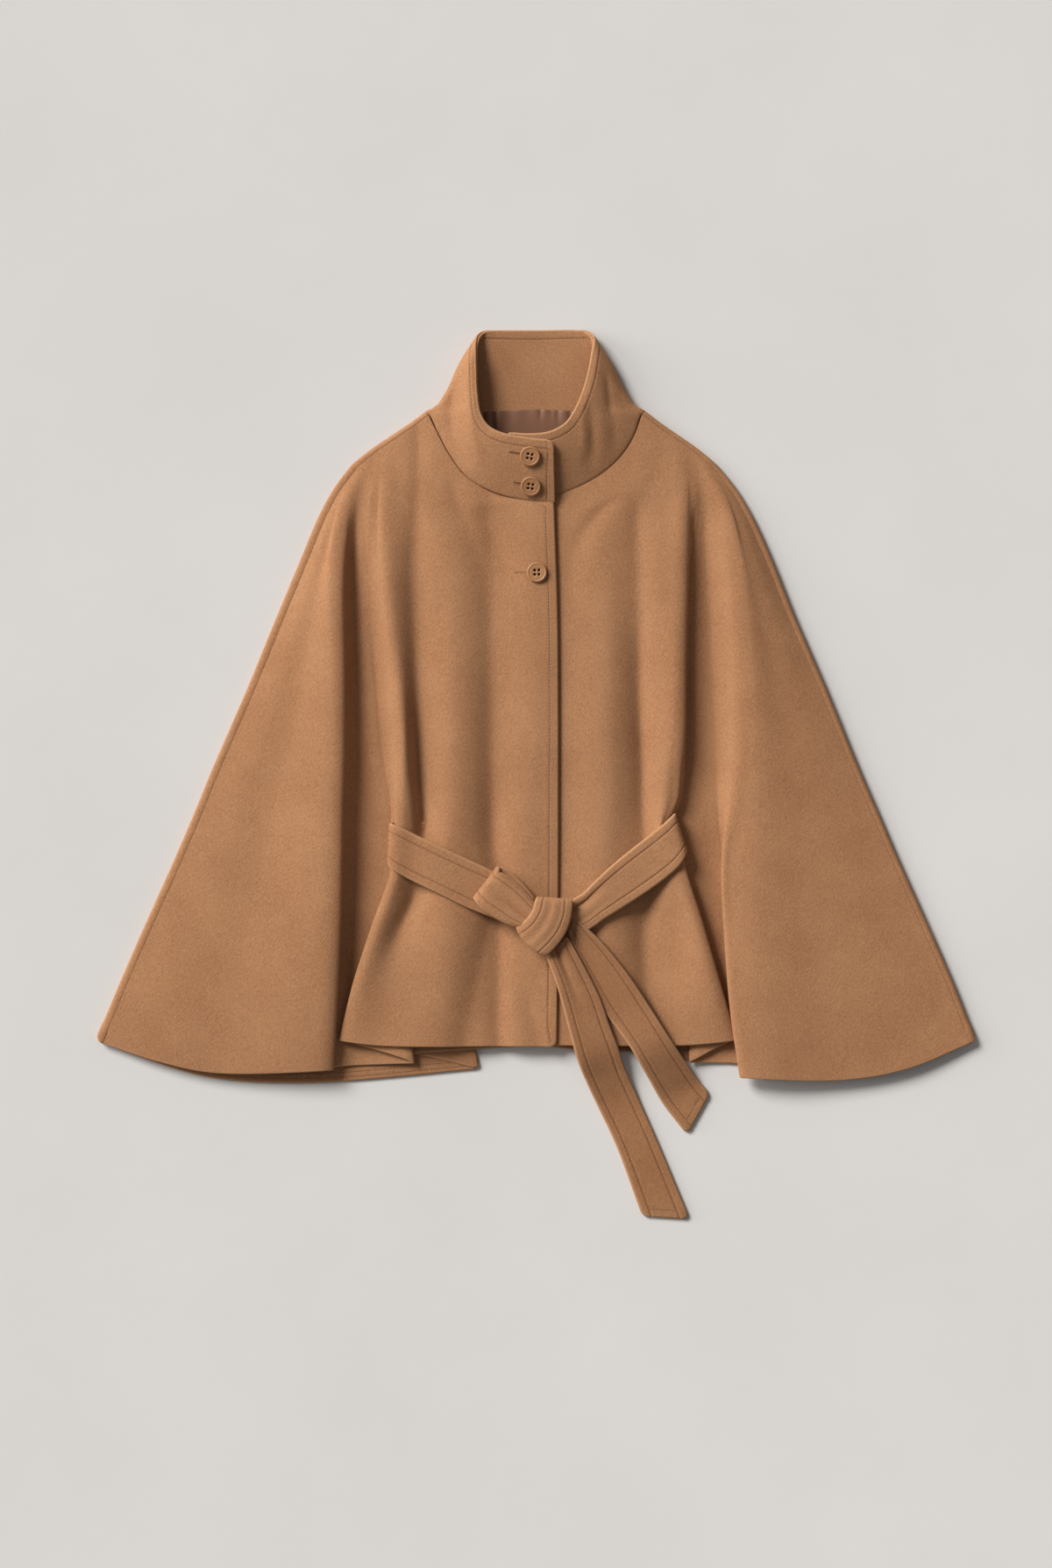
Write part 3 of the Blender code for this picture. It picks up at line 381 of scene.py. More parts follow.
def section_points(section, hem, roll, side):
    """The control points of one section, from the inner edge to the seam."""
    wide = FOLD_HALF * section.tight
    shut = section.closed
    side_a, side_z = section.side
    under_a, under_z = section.under
    valley_a, valley_z = section.valley
    wing_a, wing_z = section.wing
    mid_a, mid_z = section.mid
    seam_a, seam_z = section.seam
    low_z = mix(0, 2.3, shut)
    points = [
        (*section.edge, 0),
        (*section.c1, 0),
        (*section.c2, hem.body * 0.5),
        (*section.c3, hem.body),
        (*section.c4, 0),
        (side_a - wide, side_z, hem.side - 1),
        (side_a, side_z - mix(1, 3, shut) * section.tight, hem.side),
        (side_a + mix(0.6, -1, shut) * wide, side_z - mix(4, 6, shut) * section.tight, hem.side - 1),
        (under_a + mix(-0.5, 1, shut) * wide, under_z + mix(1.5, 4.6, shut) * section.tight, hem.under + 4),
        (under_a, under_z + low_z, hem.under),
        (under_a + mix(0.6, 1, shut) * wide, under_z - mix(1.5 * (under_z > 8), 0, shut) * section.tight,
         hem.under - 0.5),
        (valley_a, valley_z, hem.valley),
        (mix((valley_a + wing_a) / 2, wing_a + 3.5, roll), (valley_z + wing_z) / 2,
         (hem.valley + hem.wing) / 2),
        (wing_a, wing_z - 4 * roll, hem.wing),
        (wing_a + mix(18, 9, roll) * section.tight, wing_z + 0.5, hem.wing - 1),
        (mid_a, mid_z, hem.mid),
        ((mid_a + seam_a) / 2, (mid_z + seam_z) / 2 + 1, hem.outer),
        (seam_a - SEAM_GAP, seam_z, 0),
    ]
    edge_a = section.edge[0]
    placed = []
    for out, z, drop in points:
        share = (out - edge_a) / (seam_a - edge_a)
        y = mix(section.edge_y, section.seam_y, share) + drop * section.drop
        placed.append((out * side, y, z))
    return placed


HEM_SHARES = [0.86 * share for share in even(15)] + [0.86, 0.9, 0.93, 0.955, 0.975, 0.99]


def front_grid(sections, neck, hem, rolls, side):
    """The middle surface of a front, rows from the shoulder seam to the hem by columns from edge to seam."""
    controls = np.array([section_points(s, hem, r, side) for s, r in zip(sections, rolls)])
    spans = [even(ROW_STEPS)] * (len(sections) - 2) + [HEM_SHARES]
    neck_line = curve_through([(out * side, y, z) for out, y, z in neck],
                              [even(ROW_STEPS * NECK_CORNER // (len(neck) - 1))] * (len(neck) - 1))
    lines = []
    for column in range(controls.shape[1]):
        if column == 0:
            edge_line = curve_through(controls[NECK_CORNER:, 0], spans[NECK_CORNER:])
            lines.append(np.vstack([neck_line[:-1], edge_line]))
        else:
            lines.append(curve_through(controls[:, column], spans))
    return np.array([curve_through([line[r] for line in lines], FRONT_STEPS) for r in range(len(lines[0]))])


def first_column(span, steps=FRONT_STEPS):
    """Column of the grid at which this span starts."""
    return sum(len(shares) for shares in steps[:span])


def slit_cells():
    rows = range(SLIT_SECTIONS[0] * ROW_STEPS + SLIT_CLOSED, SLIT_SECTIONS[1] * ROW_STEPS)
    columns = range(first_column(SLIT_SPANS[0]), first_column(SLIT_SPANS[-1] + 1))
    return [(r, c) for r in rows for c in columns]


def distance_along(grid, axis, from_end=False):
    """How far each point of a grid lies from its first row or column, or from its last, in mm."""
    step = np.linalg.norm(np.diff(grid, axis=axis), axis=2)
    if from_end:
        step = np.flip(step, axis=axis)
    total = np.cumsum(step, axis=axis)
    pad = [(0, 0), (0, 0)]
    pad[axis] = (1, 0)
    total = np.pad(total, pad)
    return np.flip(total, axis=axis) if from_end else total


# Creases that are pressed into a front after its sections are joined, each from its upper end to its lower.
# x and y place the crease, depth is how far it sinks, and left and right are its half widths.
Crease = namedtuple("Crease", "y x depth left right")
RIGHT_CREASES = (
    (Crease(335, -139, 0, 9, 14), Crease(290, -139, 1.8, 9, 14), Crease(230, -142, 2.6, 9, 14),
     Crease(180, -141, 2.8, 9, 14), Crease(90, -139, 3.6, 6, 13), Crease(10, -134.5, 5, 4, 9),
     Crease(-30, -130.5, 6, 4, 8), Crease(-55, -129, 6.5, 4, 8), Crease(-80, -127, 3, 5, 9),
     Crease(-105, -126, 0, 8, 10)),
    (Crease(150, -154, 0, 8, 6), Crease(90, -150, -2, 9, 6), Crease(10, -146, -5, 10, 5),
     Crease(-30, -142, -6, 11, 5), Crease(-55, -140.5, -4.6, 11, 5), Crease(-80, -139.5, -2.6, 11, 5),
     Crease(-105, -138, 0, 11, 6)),
    (Crease(345, -97, 0, 10, 12), Crease(320, -93, 2, 9, 12), Crease(270, -74, 2, 14, 16),
     Crease(180, -52, 1, 16, 18), Crease(85, -50, 1.6, 15, 17), Crease(0, -49, 2.6, 14, 15),
     Crease(-70, -48, 5, 13, 13), Crease(-120, -42, 5, 13, 13)),
    (Crease(305, -62, 0, 8, 8), Crease(290, -58, 1.6, 9, 10), Crease(240, -34, 1.2, 12, 12),
     Crease(200, -24, 0, 12, 12)),
    (Crease(-118, -134, 2, 9, 12), Crease(-140, -139, 6, 9, 12), Crease(-175, -156, 4.5, 10, 13),
     Crease(-215, -170, 1, 12, 14), Crease(-250, -180, 0, 12, 14)),
    (Crease(-150, -50, 3, 14, 34), Crease(-178, -53, 4.6, 15, 55), Crease(-225, -62, 3.8, 17, 62),
     Crease(-270, -74, 3, 17, 52), Crease(-312, -80, 2.4, 17, 40)),
    (Crease(-240, -14, 0, 11, 9), Crease(-270, -6, 2, 12, 9), Crease(-312, 4, 1.6, 14, 9)),
    (Crease(-140, -14, 0, 30, 22), Crease(-165, -14, 1.4, 34, 26), Crease(-200, -16, 1.6, 34, 26),
     Crease(-243, -19, 1.2, 30, 24), Crease(-285, -23, 0.6, 26, 22), Crease(-312, -24, 0.3, 26, 22)),
)
LEFT_CREASES = (
    (Crease(320, 116, 0, 9, 9), Crease(285, 115, 2.0, 10, 10), Crease(230, 117, 2.6, 11, 10),
     Crease(180, 118, 2.6, 11, 9), Crease(85, 118, 4.4, 10, 8), Crease(5, 122, 6, 10, 8),
     Crease(-45, 123, 5, 10, 9), Crease(-85, 125, 2.5, 10, 9), Crease(-110, 126, 2, 10, 9)),
    (Crease(318, 92, 0, 8, 8), Crease(300, 74, 2, 9, 10), Crease(270, 52, 2, 10, 11),
     Crease(235, 40, 1.2, 10, 12), Crease(190, 34, 0, 10, 12)),
    (Crease(-110, 112, 0, 10, 10), Crease(-150, 120, 5, 12, 26), Crease(-185, 122, 6, 14, 36),
     Crease(-230, 124, 5, 16, 42), Crease(-275, 128, 3.5, 16, 34), Crease(-312, 132, 2.5, 16, 26)),
    (Crease(-165, 60, 0, 9, 12), Crease(-185, 66, 4, 10, 12), Crease(-230, 84, 2.5, 12, 13),
     Crease(-290, 96, 0, 12, 13)),
    (Crease(-140, 156, 0, 16, 12), Crease(-170, 160, 2, 20, 12), Crease(-215, 164, 2.2, 24, 14),
     Crease(-270, 170, 0, 24, 16)),
    (Crease(325, 205, 0, 10, 14), Crease(290, 210, 2, 10, 14), Crease(240, 216, 3.4, 11, 18),
     Crease(180, 220, 4.6, 13, 24), Crease(90, 226, 6, 17, 26), Crease(0, 226, 6.6, 19, 28),
     Crease(-60, 222, 6.6, 19, 28), Crease(-110, 220, 6.4, 18, 28), Crease(-170, 223, 6.6, 18, 28),
     Crease(-240, 231, 4.8, 18, 26), Crease(-300, 240, 2.4, 15, 22), Crease(-315, 242, 1.8, 14, 22)),
)
FRONT_LOWEST = 4.0      # middle of the front's cloth where it rests on the back's


def pressed(grid, creases):
    """The grid with its creases sunk into it."""
    z = grid[:, :, 2].copy()
    for crease in creases:
        line = curve_through(crease, [even(8)] * (len(crease) - 1))
        x, depth, left, right = (np.interp(-grid[:, :, 1], -line[:, 0], line[:, k]) for k in (1, 2, 3, 4))
        aside = grid[:, :, 0] - x
        z -= depth * np.exp(-np.abs(aside / np.where(aside < 0, left, right)) ** 1.7)
    lowest = np.minimum(grid[:, :, 2], FRONT_LOWEST)
    sunk = grid.copy()
    sunk[:, :, 2] = np.maximum(z, lowest)
    return sunk


SHOULDER_EASE = 3.2     # how far the corner of shoulder and side is rounded off
SHOULDER_REACH = 42.0
SHOULDER_WAY = (0.75, 0.66)     # the way in from that corner


def eased_corner(grid, side):
    """The grid with its corner of shoulder and side drawn in, so that the outline runs round it."""
    corner = grid[0, -1, :2]
    near = 1 - np.linalg.norm(grid[:, :, :2] - corner, axis=2) / SHOULDER_REACH
    share = np.clip(near, 0, 1) ** 2
    drawn = grid.copy()
    drawn[:, :, 0] -= side * SHOULDER_WAY[0] * SHOULDER_EASE * share
    drawn[:, :, 1] -= SHOULDER_WAY[1] * SHOULDER_EASE * share
    return drawn


SETTLED = (10, 36)      # the rows from the shoulder seam over which the folds rise out of the plain shoulder
SETTLED_REACH = 9.0     # width of the smoothing along a row
SETTLED_WINDOW = 30     # how far it looks to either side


def settled(grid):
    """The grid with its rows next to the shoulder seam smoothed along their length."""
    smooth = grid.copy()
    for r in range(SETTLED[1]):
        along = np.concatenate([[0], np.cumsum(np.linalg.norm(np.diff(grid[r, :, :2], axis=0), axis=1))])
        places = np.arange(-SETTLED_WINDOW, int(along[-1]) + SETTLED_WINDOW + 1)
        height = grid[r, :, 2]
        z = np.interp(places, along, height)
        z = np.where(places < 0, 2 * z[SETTLED_WINDOW] - np.interp(-places, along, height), z)
        z = np.where(places > along[-1], 2 * height[-1] - np.interp(2 * along[-1] - places, along, height), z)
        bell = np.exp(-(np.arange(-SETTLED_WINDOW, SETTLED_WINDOW + 1) / SETTLED_REACH) ** 2)
        even_z = np.convolve(z, bell / bell.sum(), mode="same")
        share = 1 - soft_step(*SETTLED, r)
        smooth[r, :, 2] = mix(height, np.interp(along, places, even_z), share)
    return smooth


Nip = namedtuple("Nip", "x y reach_x reach_y inward")
LEFT_NIP = Nip(166, -62, 20, 24, 16)    # where the belt pulls the side of the left front in


def nipped(grid, nip):
    drawn = grid.copy()
    aside = (grid[:, :, 0] - nip.x) / nip.reach_x
    below = (grid[:, :, 1] - nip.y) / nip.reach_y
    near = np.exp(-aside ** 2 - below ** 2)
    drawn[:, :, 0] -= nip.inward * near
    return drawn


TURNED_WALL = 3.6       # wall where an edge is turned and faced
FACING_SHARE = 0.35     # how much of that the facing keeps past the row of stitching
GROOVE_DEPTH = 1.1      # how far a row of stitching pulls the wall in
GROOVE_HALF = 0.9
HEM_THICKER = 0.4       # how much thicker the hem is, and how far up from it
HEM_THICKER_UP_TO = 40


def faced_wall(distance, stitch=EDGE_STITCH, wall=WOOL, turned=TURNED_WALL):
    """Wall of a cloth at this distance from an edge that is turned, faced and stitched."""
    thick = mix(turned, mix(wall, turned, FACING_SHARE), soft_step(stitch - 1, stitch + 7, distance))
    thick = mix(thick, wall, soft_step(stitch + 10, stitch + 60, distance))
    return thick - GROOVE_DEPTH * stitched_at(distance, stitch)


def stitched_at(distance, stitch):
    """1 on a row of stitching and 0 away from it."""
    return np.exp(-((np.asarray(distance, float) - stitch) / GROOVE_HALF) ** 2)


def round_drop(distance, radius):
    """How far a corner of this radius falls back at a distance from the end of its side."""
    short = radius - np.clip(distance, 0, radius)
    return radius - np.sqrt(radius ** 2 - short ** 2)


HEM_CORNER = 6.0        # radius of the lower corners


def trimmed(grid, side):
    """The grid with its edge and hem drawn in by the rim that is added there, and their corner rounded."""
    from_edge = distance_along(grid, 1)
    from_hem = distance_along(grid, 0, from_end=True)
    cut = grid.copy()
    cut[:, :, 0] += side * TURNED_WALL / 2 * (1 - soft_step(0, 25, from_edge))
    lift = round_drop(from_edge[-1:], HEM_CORNER) + WOOL / 2
    cut[:, :, 1] += lift * (1 - soft_step(0, 30, from_hem))
    return cut


def upper_face(grid, wall, turned_over=False):
    """Points of a cloth's upper face, or of its other one, and their normals."""
    normal = grid_normals(grid)
    if (normal[len(grid) // 2, grid.shape[1] // 4, 2] < 0) != turned_over:
        normal = -normal
    return grid + normal * np.broadcast_to(wall, grid.shape[:2])[:, :, None] / 2, normal


def row_at(face, normal, distance, place):
    """Points and normals of the row of stitching where distance, which grows along axis 1, is place."""
    reached = [r for r in range(len(face)) if distance[r].max() > place]
    points = [[np.interp(place, distance[r], face[r, :, k]) for k in range(3)] for r in reached]
    upward = [[np.interp(place, distance[r], normal[r, :, k]) for k in range(3)] for r in reached]
    return np.array(points), np.array(upward)


STITCH = 3.0            # length of a stitch, and from one to the next
STITCH_PITCH = 3.7
THREAD = 0.34           # radius of the thread
THREAD_SIDES = 6
STITCH_SHARES = np.array([0, 0.1, 0.32, 0.68, 0.9, 1.0])
STITCH_SWELL = np.array([0.3, 0.8, 1, 1, 0.8, 0.3])
STITCH_RISE = np.array([-0.9, -0.1, 0.35, 0.35, -0.1, -0.9])


def thread_material(name, colour):
    material, _, shader = new_material(name)
    shader.inputs["Base Color"].default_value = linear(colour)
    shader.inputs["Roughness"].default_value = 0.6
    return material


thread = thread_material("camel polyester thread", "7f5537")


def stitches(name, ends, normals, radius=THREAD, material=thread):
    """One piece of many stitches, each a short run of thread whose two ends dip into the cloth."""
    points, faces = [], []
    turns = np.arange(THREAD_SIDES) * 2 * math.pi / THREAD_SIDES
    for (start, end), normal in zip(ends, normals):
        ahead = (end - start) / np.linalg.norm(end - start)
        aside = np.cross(normal, ahead)
        base = len(points)
        for share, swell, rise in zip(STITCH_SHARES, STITCH_SWELL, STITCH_RISE):
            centre = mix(start, end, share) + normal * rise * radius
            for turn in turns:
                points.append(centre + (aside * math.cos(turn) + normal * math.sin(turn)) * radius * swell)
        for ring in range(len(STITCH_SHARES) - 1):
            low = base + ring * THREAD_SIDES
            for k in range(THREAD_SIDES):
                following = (k + 1) % THREAD_SIDES
                faces.append((low + k, low + following,
                              low + THREAD_SIDES + following, low + THREAD_SIDES + k))
        last = base + (len(STITCH_SHARES) - 1) * THREAD_SIDES
        faces.append(tuple(range(base, base + THREAD_SIDES))[::-1])
        faces.append(tuple(range(last, last + THREAD_SIDES)))
    mesh = bpy.data.meshes.new(name)
    mesh.from_pydata((np.array(points) * MM).tolist(), [], faces)
    mesh.shade_smooth()
    mesh.materials.append(material)
    piece = bpy.data.objects.new(name, mesh)
    bpy.context.scene.collection.objects.link(piece)
    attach(piece, "root")
    return piece


def stitching(name, rows):
    """Machine stitching along rows, each given as its points and normals."""
    ends, normals = [], []
    for points, upward in rows:
        along = np.concatenate([[0], np.cumsum(np.linalg.norm(np.diff(points, axis=0), axis=1))])
        for number in range(int(along[-1] / STITCH_PITCH)):
            places = number * STITCH_PITCH + np.array([0.35, 0.35 + STITCH])
            placed = np.array([[np.interp(place, along, points[:, k]) for k in range(3)] for place in places])
            normal = np.array([np.interp(places.mean(), along, upward[:, k]) for k in range(3)])
            ends.append(placed)
            normals.append(normal / np.linalg.norm(normal))
    piece = stitches(name, ends, normals)
    return piece


def make_front(node, sections, neck, hem, rolls, creases, side):
    grid = eased_corner(pressed(settled(front_grid(sections, neck, hem, rolls, side)), creases), side)
    grid = trimmed(grid, side)
    if node == "front_left":
        grid = nipped(grid, LEFT_NIP)
    corner_row = NECK_CORNER * ROW_STEPS
    from_edge = distance_along(grid, 1)
    below_corner = soft_step(corner_row - 6, corner_row, np.arange(len(grid)))[:, None]
    wall = mix(WOOL, faced_wall(from_edge), below_corner)
    from_hem = distance_along(grid, 0, from_end=True)
    wall = wall + HEM_THICKER * (1 - soft_step(0, HEM_THICKER_UP_TO, from_hem))
    sewn = np.zeros(grid.shape[:2], bool)
    sewn[:corner_row + 1, 0] = sewn[0] = sewn[:, -1] = True
    piece = cloth(node + "_cloth", grid, wall, wool, skip=slit_cells(), sewn=sewn,
                  sunk=stitched_at(from_edge, EDGE_STITCH) * below_corner)
    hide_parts(node)
    face, normal = upper_face(grid, wall)
    edge_row = row_at(face[corner_row:-2], normal[corner_row:-2], from_edge[corner_row:-2], EDGE_STITCH)
    edge_stitching = stitching(node + "_edge_stitching", [edge_row])
    return grid


right_grid = make_front("front_right", RIGHT_FRONT, RIGHT_NECK, RIGHT_HEM, RIGHT_ROLL, RIGHT_CREASES, -1)
left_grid = make_front("front_left", LEFT_FRONT, LEFT_NECK, LEFT_HEM, LEFT_ROLL, LEFT_CREASES, 1)


# ---------------------------------------------------------------- back
# One piece of the same wool, wings in one with it. It lies flat, and its outer edge turns up round the cape's
# outline to the seam with the fronts. One flare of its hem is folded over at the wearer's right.
BACK_Z = WOOL / 2
BACK_NECK_Y = 415.0
BACK_HEM_Y = -307.5
BACK_SEAM_GAP = 0.85
EDGE_ROLL = 3.3
RIGHT_LAP = (4.6, 6.5, 8.0)
LEFT_LAP = (4.4, 5.0, 6.5)
HEM_STITCHES = (3.5, 9.0)
SHOULDER_STEP = 5       # columns of the front's shoulder seam between two rows of the back
BackFlare = namedtuple("BackFlare", "y rise folded outer inner")
RIGHT_FLARE = (
    BackFlare(-110, 0, 0, 95, 115),
    BackFlare(-160, 1, 0.3, 100, 108),
    BackFlare(-220, 1, 1, 125, 85),
    BackFlare(-310, 1, 1, 150, 65.5),
)
NO_FLARE = (BackFlare(-110, 0, 0, 95, 115), BackFlare(-310, 0, 0, 95, 115))
RIGHT_BACK_HEM = (0, -3, -10, -28, -45, -38)
LEFT_BACK_HEM = (0, -5, -8, -11, -24, -24)
BACK_STEPS = [even(n) for n in (8, 10, 4, 4, 8, 4, 4, 22, 20, 14, 3, 3, 3)] + [even(3)]
UNDER_FLARE = (4, 8)    # first and last span of the layers under the folded flare
STRAIGHT_END = 14       # rows above the hem over which the rolled edge runs straight
BACK_HEM_THICKER = 1.2  # how much thicker the back is at its turned hem
BACK_HEM_TURNED = (9, 24)       # how far up from the hem that fades out
BACK_SHADOW_FADE = (14, 40)  # how far in from its sides the back's middle gets painted shadow
# how dark that painted shadow is, where the fronts shade the back
BACK_PAINTED_SHADOW = 0.6


def flare_at(flares, y):
    rows = np.array(flares)
    return BackFlare(*(np.interp(-y, -rows[:, 0], rows[:, column]) for column in range(5)))


def back_controls(centre_y, seam_point, normal, lap, side, flare, drops, drop_share):
    """Control points of one row of half the back, from the centre line out and round its rolled edge."""
    out_end = seam_point + normal * (lap - EDGE_ROLL)
    top_z = seam_point[2]
    radius = (top_z - BACK_Z) / 2
    reach = abs(out_end[0])
    plies = WOOL + SEAM_GAP
    fold = 5.0
    scale = min(1.0, reach / 300)
    outer, inner, shut, up = flare.outer * scale, flare.inner * scale, flare.folded, flare.rise
    top = BACK_Z + 2 * plies * up
    middle = BACK_Z + plies * up
    far = max(outer, inner)
    controls = [
        (0.0, BACK_Z, drops[0]),
        (min(45.0, outer * 0.5), BACK_Z + plies * up * 0.9 * shut, drops[1]),
        (outer - fold, top, drops[2]),
        (outer, mix(top, (top + middle) / 2, shut), drops[2]),
        (outer + mix(1, -1, shut) * fold, middle + 0.2 * up, drops[2]),
        (inner + mix(-1, 1, shut) * fold, middle - 0.2 * up, drops[3] + 2),
        (inner, mix(BACK_Z, (middle + BACK_Z) / 2, shut), drops[3]),
        (inner + fold, BACK_Z, drops[3]),
        (mix(far, reach, 0.33), BACK_Z, drops[4]),
        (mix(far, reach, 0.66), BACK_Z, drops[5]),
    ]
    points = [(out * side, mix(centre_y, out_end[1], out / reach) + drop * drop_share, z)
              for out, z, drop in controls]
    flat_end = np.array([out_end[0], out_end[1], BACK_Z])
    up_by = np.array([0, 0, radius])
    points.append(flat_end - normal * radius * 0.5)
    points.append(flat_end + normal * EDGE_ROLL * 0.55 + up_by * 0.22)
    points.append(flat_end + normal * EDGE_ROLL + up_by)
    points.append(flat_end + normal * EDGE_ROLL * 0.55 + up_by * 1.78)
    points.append(seam_point + normal * BACK_SEAM_GAP)
    return np.array(points)


def half_grid(rows, folded):
    """Half the back's middle surface from its control rows, with its outer lower corner rounded, and that of
    its folded flare."""
    grid = np.array([curve_through(row, BACK_STEPS) for row in rows])
    out = np.abs(grid[-1, :, 0])
    lift = round_drop(out.max() - out, HEM_CORNER)
    if folded:
        under = slice(*(first_column(span, BACK_STEPS) for span in UNDER_FLARE))
        lift[under] = round_drop(out[under] - out[under].min(), HEM_CORNER)
    upward = grid[-STRAIGHT_END, :, :2] - grid[-1, :, :2]
    upward = upward / upward[:, 1:]
    near = 1 - soft_step(0, 16, distance_along(grid, 0, from_end=True))
    grid[:, :, :2] += (lift * near)[:, :, None] * upward
    return grid


def seam_with_back(front):
    """The seam of a front with the back, from the neck over the shoulder and down to the hem."""
    return np.vstack([front[0][:-1:SHOULDER_STEP], front[:, -1]])


def half_back(seam, levels, side, laps, flares, drops):
    """Control rows of one half of the back. levels gives each row's share of the way from neck to hem."""
    rows = []
    along = np.gradient(seam, axis=0)
    along[-STRAIGHT_END:] = along[-STRAIGHT_END]
    on_shoulder = np.arange(len(seam)) / (len(seam) - len(right_grid))
    for point, step, down, reached in zip(seam, along, levels, on_shoulder):
        normal = np.array([step[1], -step[0], 0.0]) / np.hypot(step[0], step[1])
        if normal[0] * side < 0:
            normal = -normal
        lap = np.interp(reached, (0, 1, 2), laps)
        centre_y = mix(BACK_NECK_Y, BACK_HEM_Y, down)
        drop_share = max(0.0, (down - 0.55) / 0.45) ** 1.5
        flare = flare_at(flares, centre_y)
        rows.append(back_controls(centre_y, point, normal, lap, side, flare, drops, drop_share))
    return rows


right_seam = seam_with_back(right_grid)
left_seam = seam_with_back(left_grid)
levels = (right_seam[0, 1] - right_seam[:, 1]) / (right_seam[0, 1] - right_seam[-1, 1])
right_half = half_back(right_seam, levels, -1, RIGHT_LAP, RIGHT_FLARE, RIGHT_BACK_HEM)
left_half = half_back(left_seam, levels, 1, LEFT_LAP, NO_FLARE, LEFT_BACK_HEM)
back_grid = np.hstack([half_grid(right_half, True)[:, :0:-1], half_grid(left_half, False)])
turned_hem = 1 - soft_step(*BACK_HEM_TURNED, distance_along(back_grid, 0, from_end=True))
back_wall = WOOL + BACK_HEM_THICKER * turned_hem
back_grid[:, :, 2] = np.maximum(back_grid[:, :, 2], back_wall / 2)
back_from_hem = distance_along(back_grid, 0, from_end=True)
back_rows = stitched_at(back_from_hem, HEM_STITCHES[0]) + stitched_at(back_from_hem, HEM_STITCHES[1])
back_from_sides = np.minimum(distance_along(back_grid, 1), distance_along(back_grid, 1, from_end=True))
# Painted shadow: the back's middle is darkened where the fronts shade it, which shows at its hem
inside = soft_step(*BACK_SHADOW_FADE, back_from_sides)
back_sewn = np.zeros(back_grid.shape[:2], bool)
back_sewn[:, 0] = back_sewn[:, -1] = back_sewn[0] = True
back = cloth("back_cloth", back_grid, back_wall, wool, sewn=back_sewn,
             sunk=np.minimum(back_rows + BACK_PAINTED_SHADOW * inside, 1))
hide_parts("back")
back_face = upper_face(back_grid, back_wall)
from_hem_up = [np.swapaxes(field, 0, 1)[8:-8, ::-1] for field in (*back_face, back_from_hem)]
back_stitching = stitching("back_hem_stitching", [row_at(*from_hem_up, place) for place in HEM_STITCHES])


# ---------------------------------------------------------------- collar
# A tall funnel of two layers of the wool, seamed to the neck, turned and stitched 9 mm inside its rim. It
# stands open at the front, where its right end buttons over its left. The inner layer is its own piece.
Rim = namedtuple("Rim", "x y z arch")
COLLAR_RIM = (
    Rim(18.5, 377.5, 40, 1.5), Rim(-10, 380.5, 39.5, 2), Rim(-37, 385.5, 39, 2), Rim(-54, 394, 38, 2),
    Rim(-63.5, 408, 37, 2), Rim(-68, 434, 35, 1.5), Rim(-69, 462, 31, 0.5),
    Rim(-69.3, 478, 27, 0), Rim(-69, 490, 20, -0.5), Rim(-66.5, 499.5, 12, -0.5), Rim(-59, 504.5, 4.5, 0),
    Rim(-49, 505, 2.3, 0), Rim(-38, 505, 1.6, 0), Rim(0, 505, 1.2, 0), Rim(37, 505.5, 1.6, 0),
    Rim(47, 505.3, 2.3, 0), Rim(56, 505, 4.5, 0), Rim(64.5, 500, 12, -0.5), Rim(66.5, 491, 20, -0.5),
    Rim(64.5, 479, 26, 0), Rim(61, 460, 29.5, 0.5), Rim(55, 438, 32, 1.5), Rim(45, 414, 33.5, 2),
    Rim(34, 398, 34, 2), Rim(16, 388, 34, 2), Rim(-8, 385.3, 33.7, 1.5), Rim(-33.5, 387, 33, 1),
)
BACK_PICKS = (13, 12, 11, 10, 9, 8, 0)
COLLAR_STITCH = 9.0
COLLAR_TURNED = 2.6     # wall of its turned edges
COLLAR_PLY_GAP = 0.5
NECK_EASE = 1.0
COLLAR_SECTION_STEPS = 7
COLLAR_CORNER = 6.0     # radius of the corners of its two ends
COLLAR_END = [0, 0.02, 0.05, 0.09, 0.14, 0.2, 0.25, 0.28, 0.3, 0.315, 0.33, 0.35, 0.38, 0.45, 0.58, 0.72,
              0.86]
COLLAR_ROWS = 16        # rows of points from the seam up to the first of those below the rim
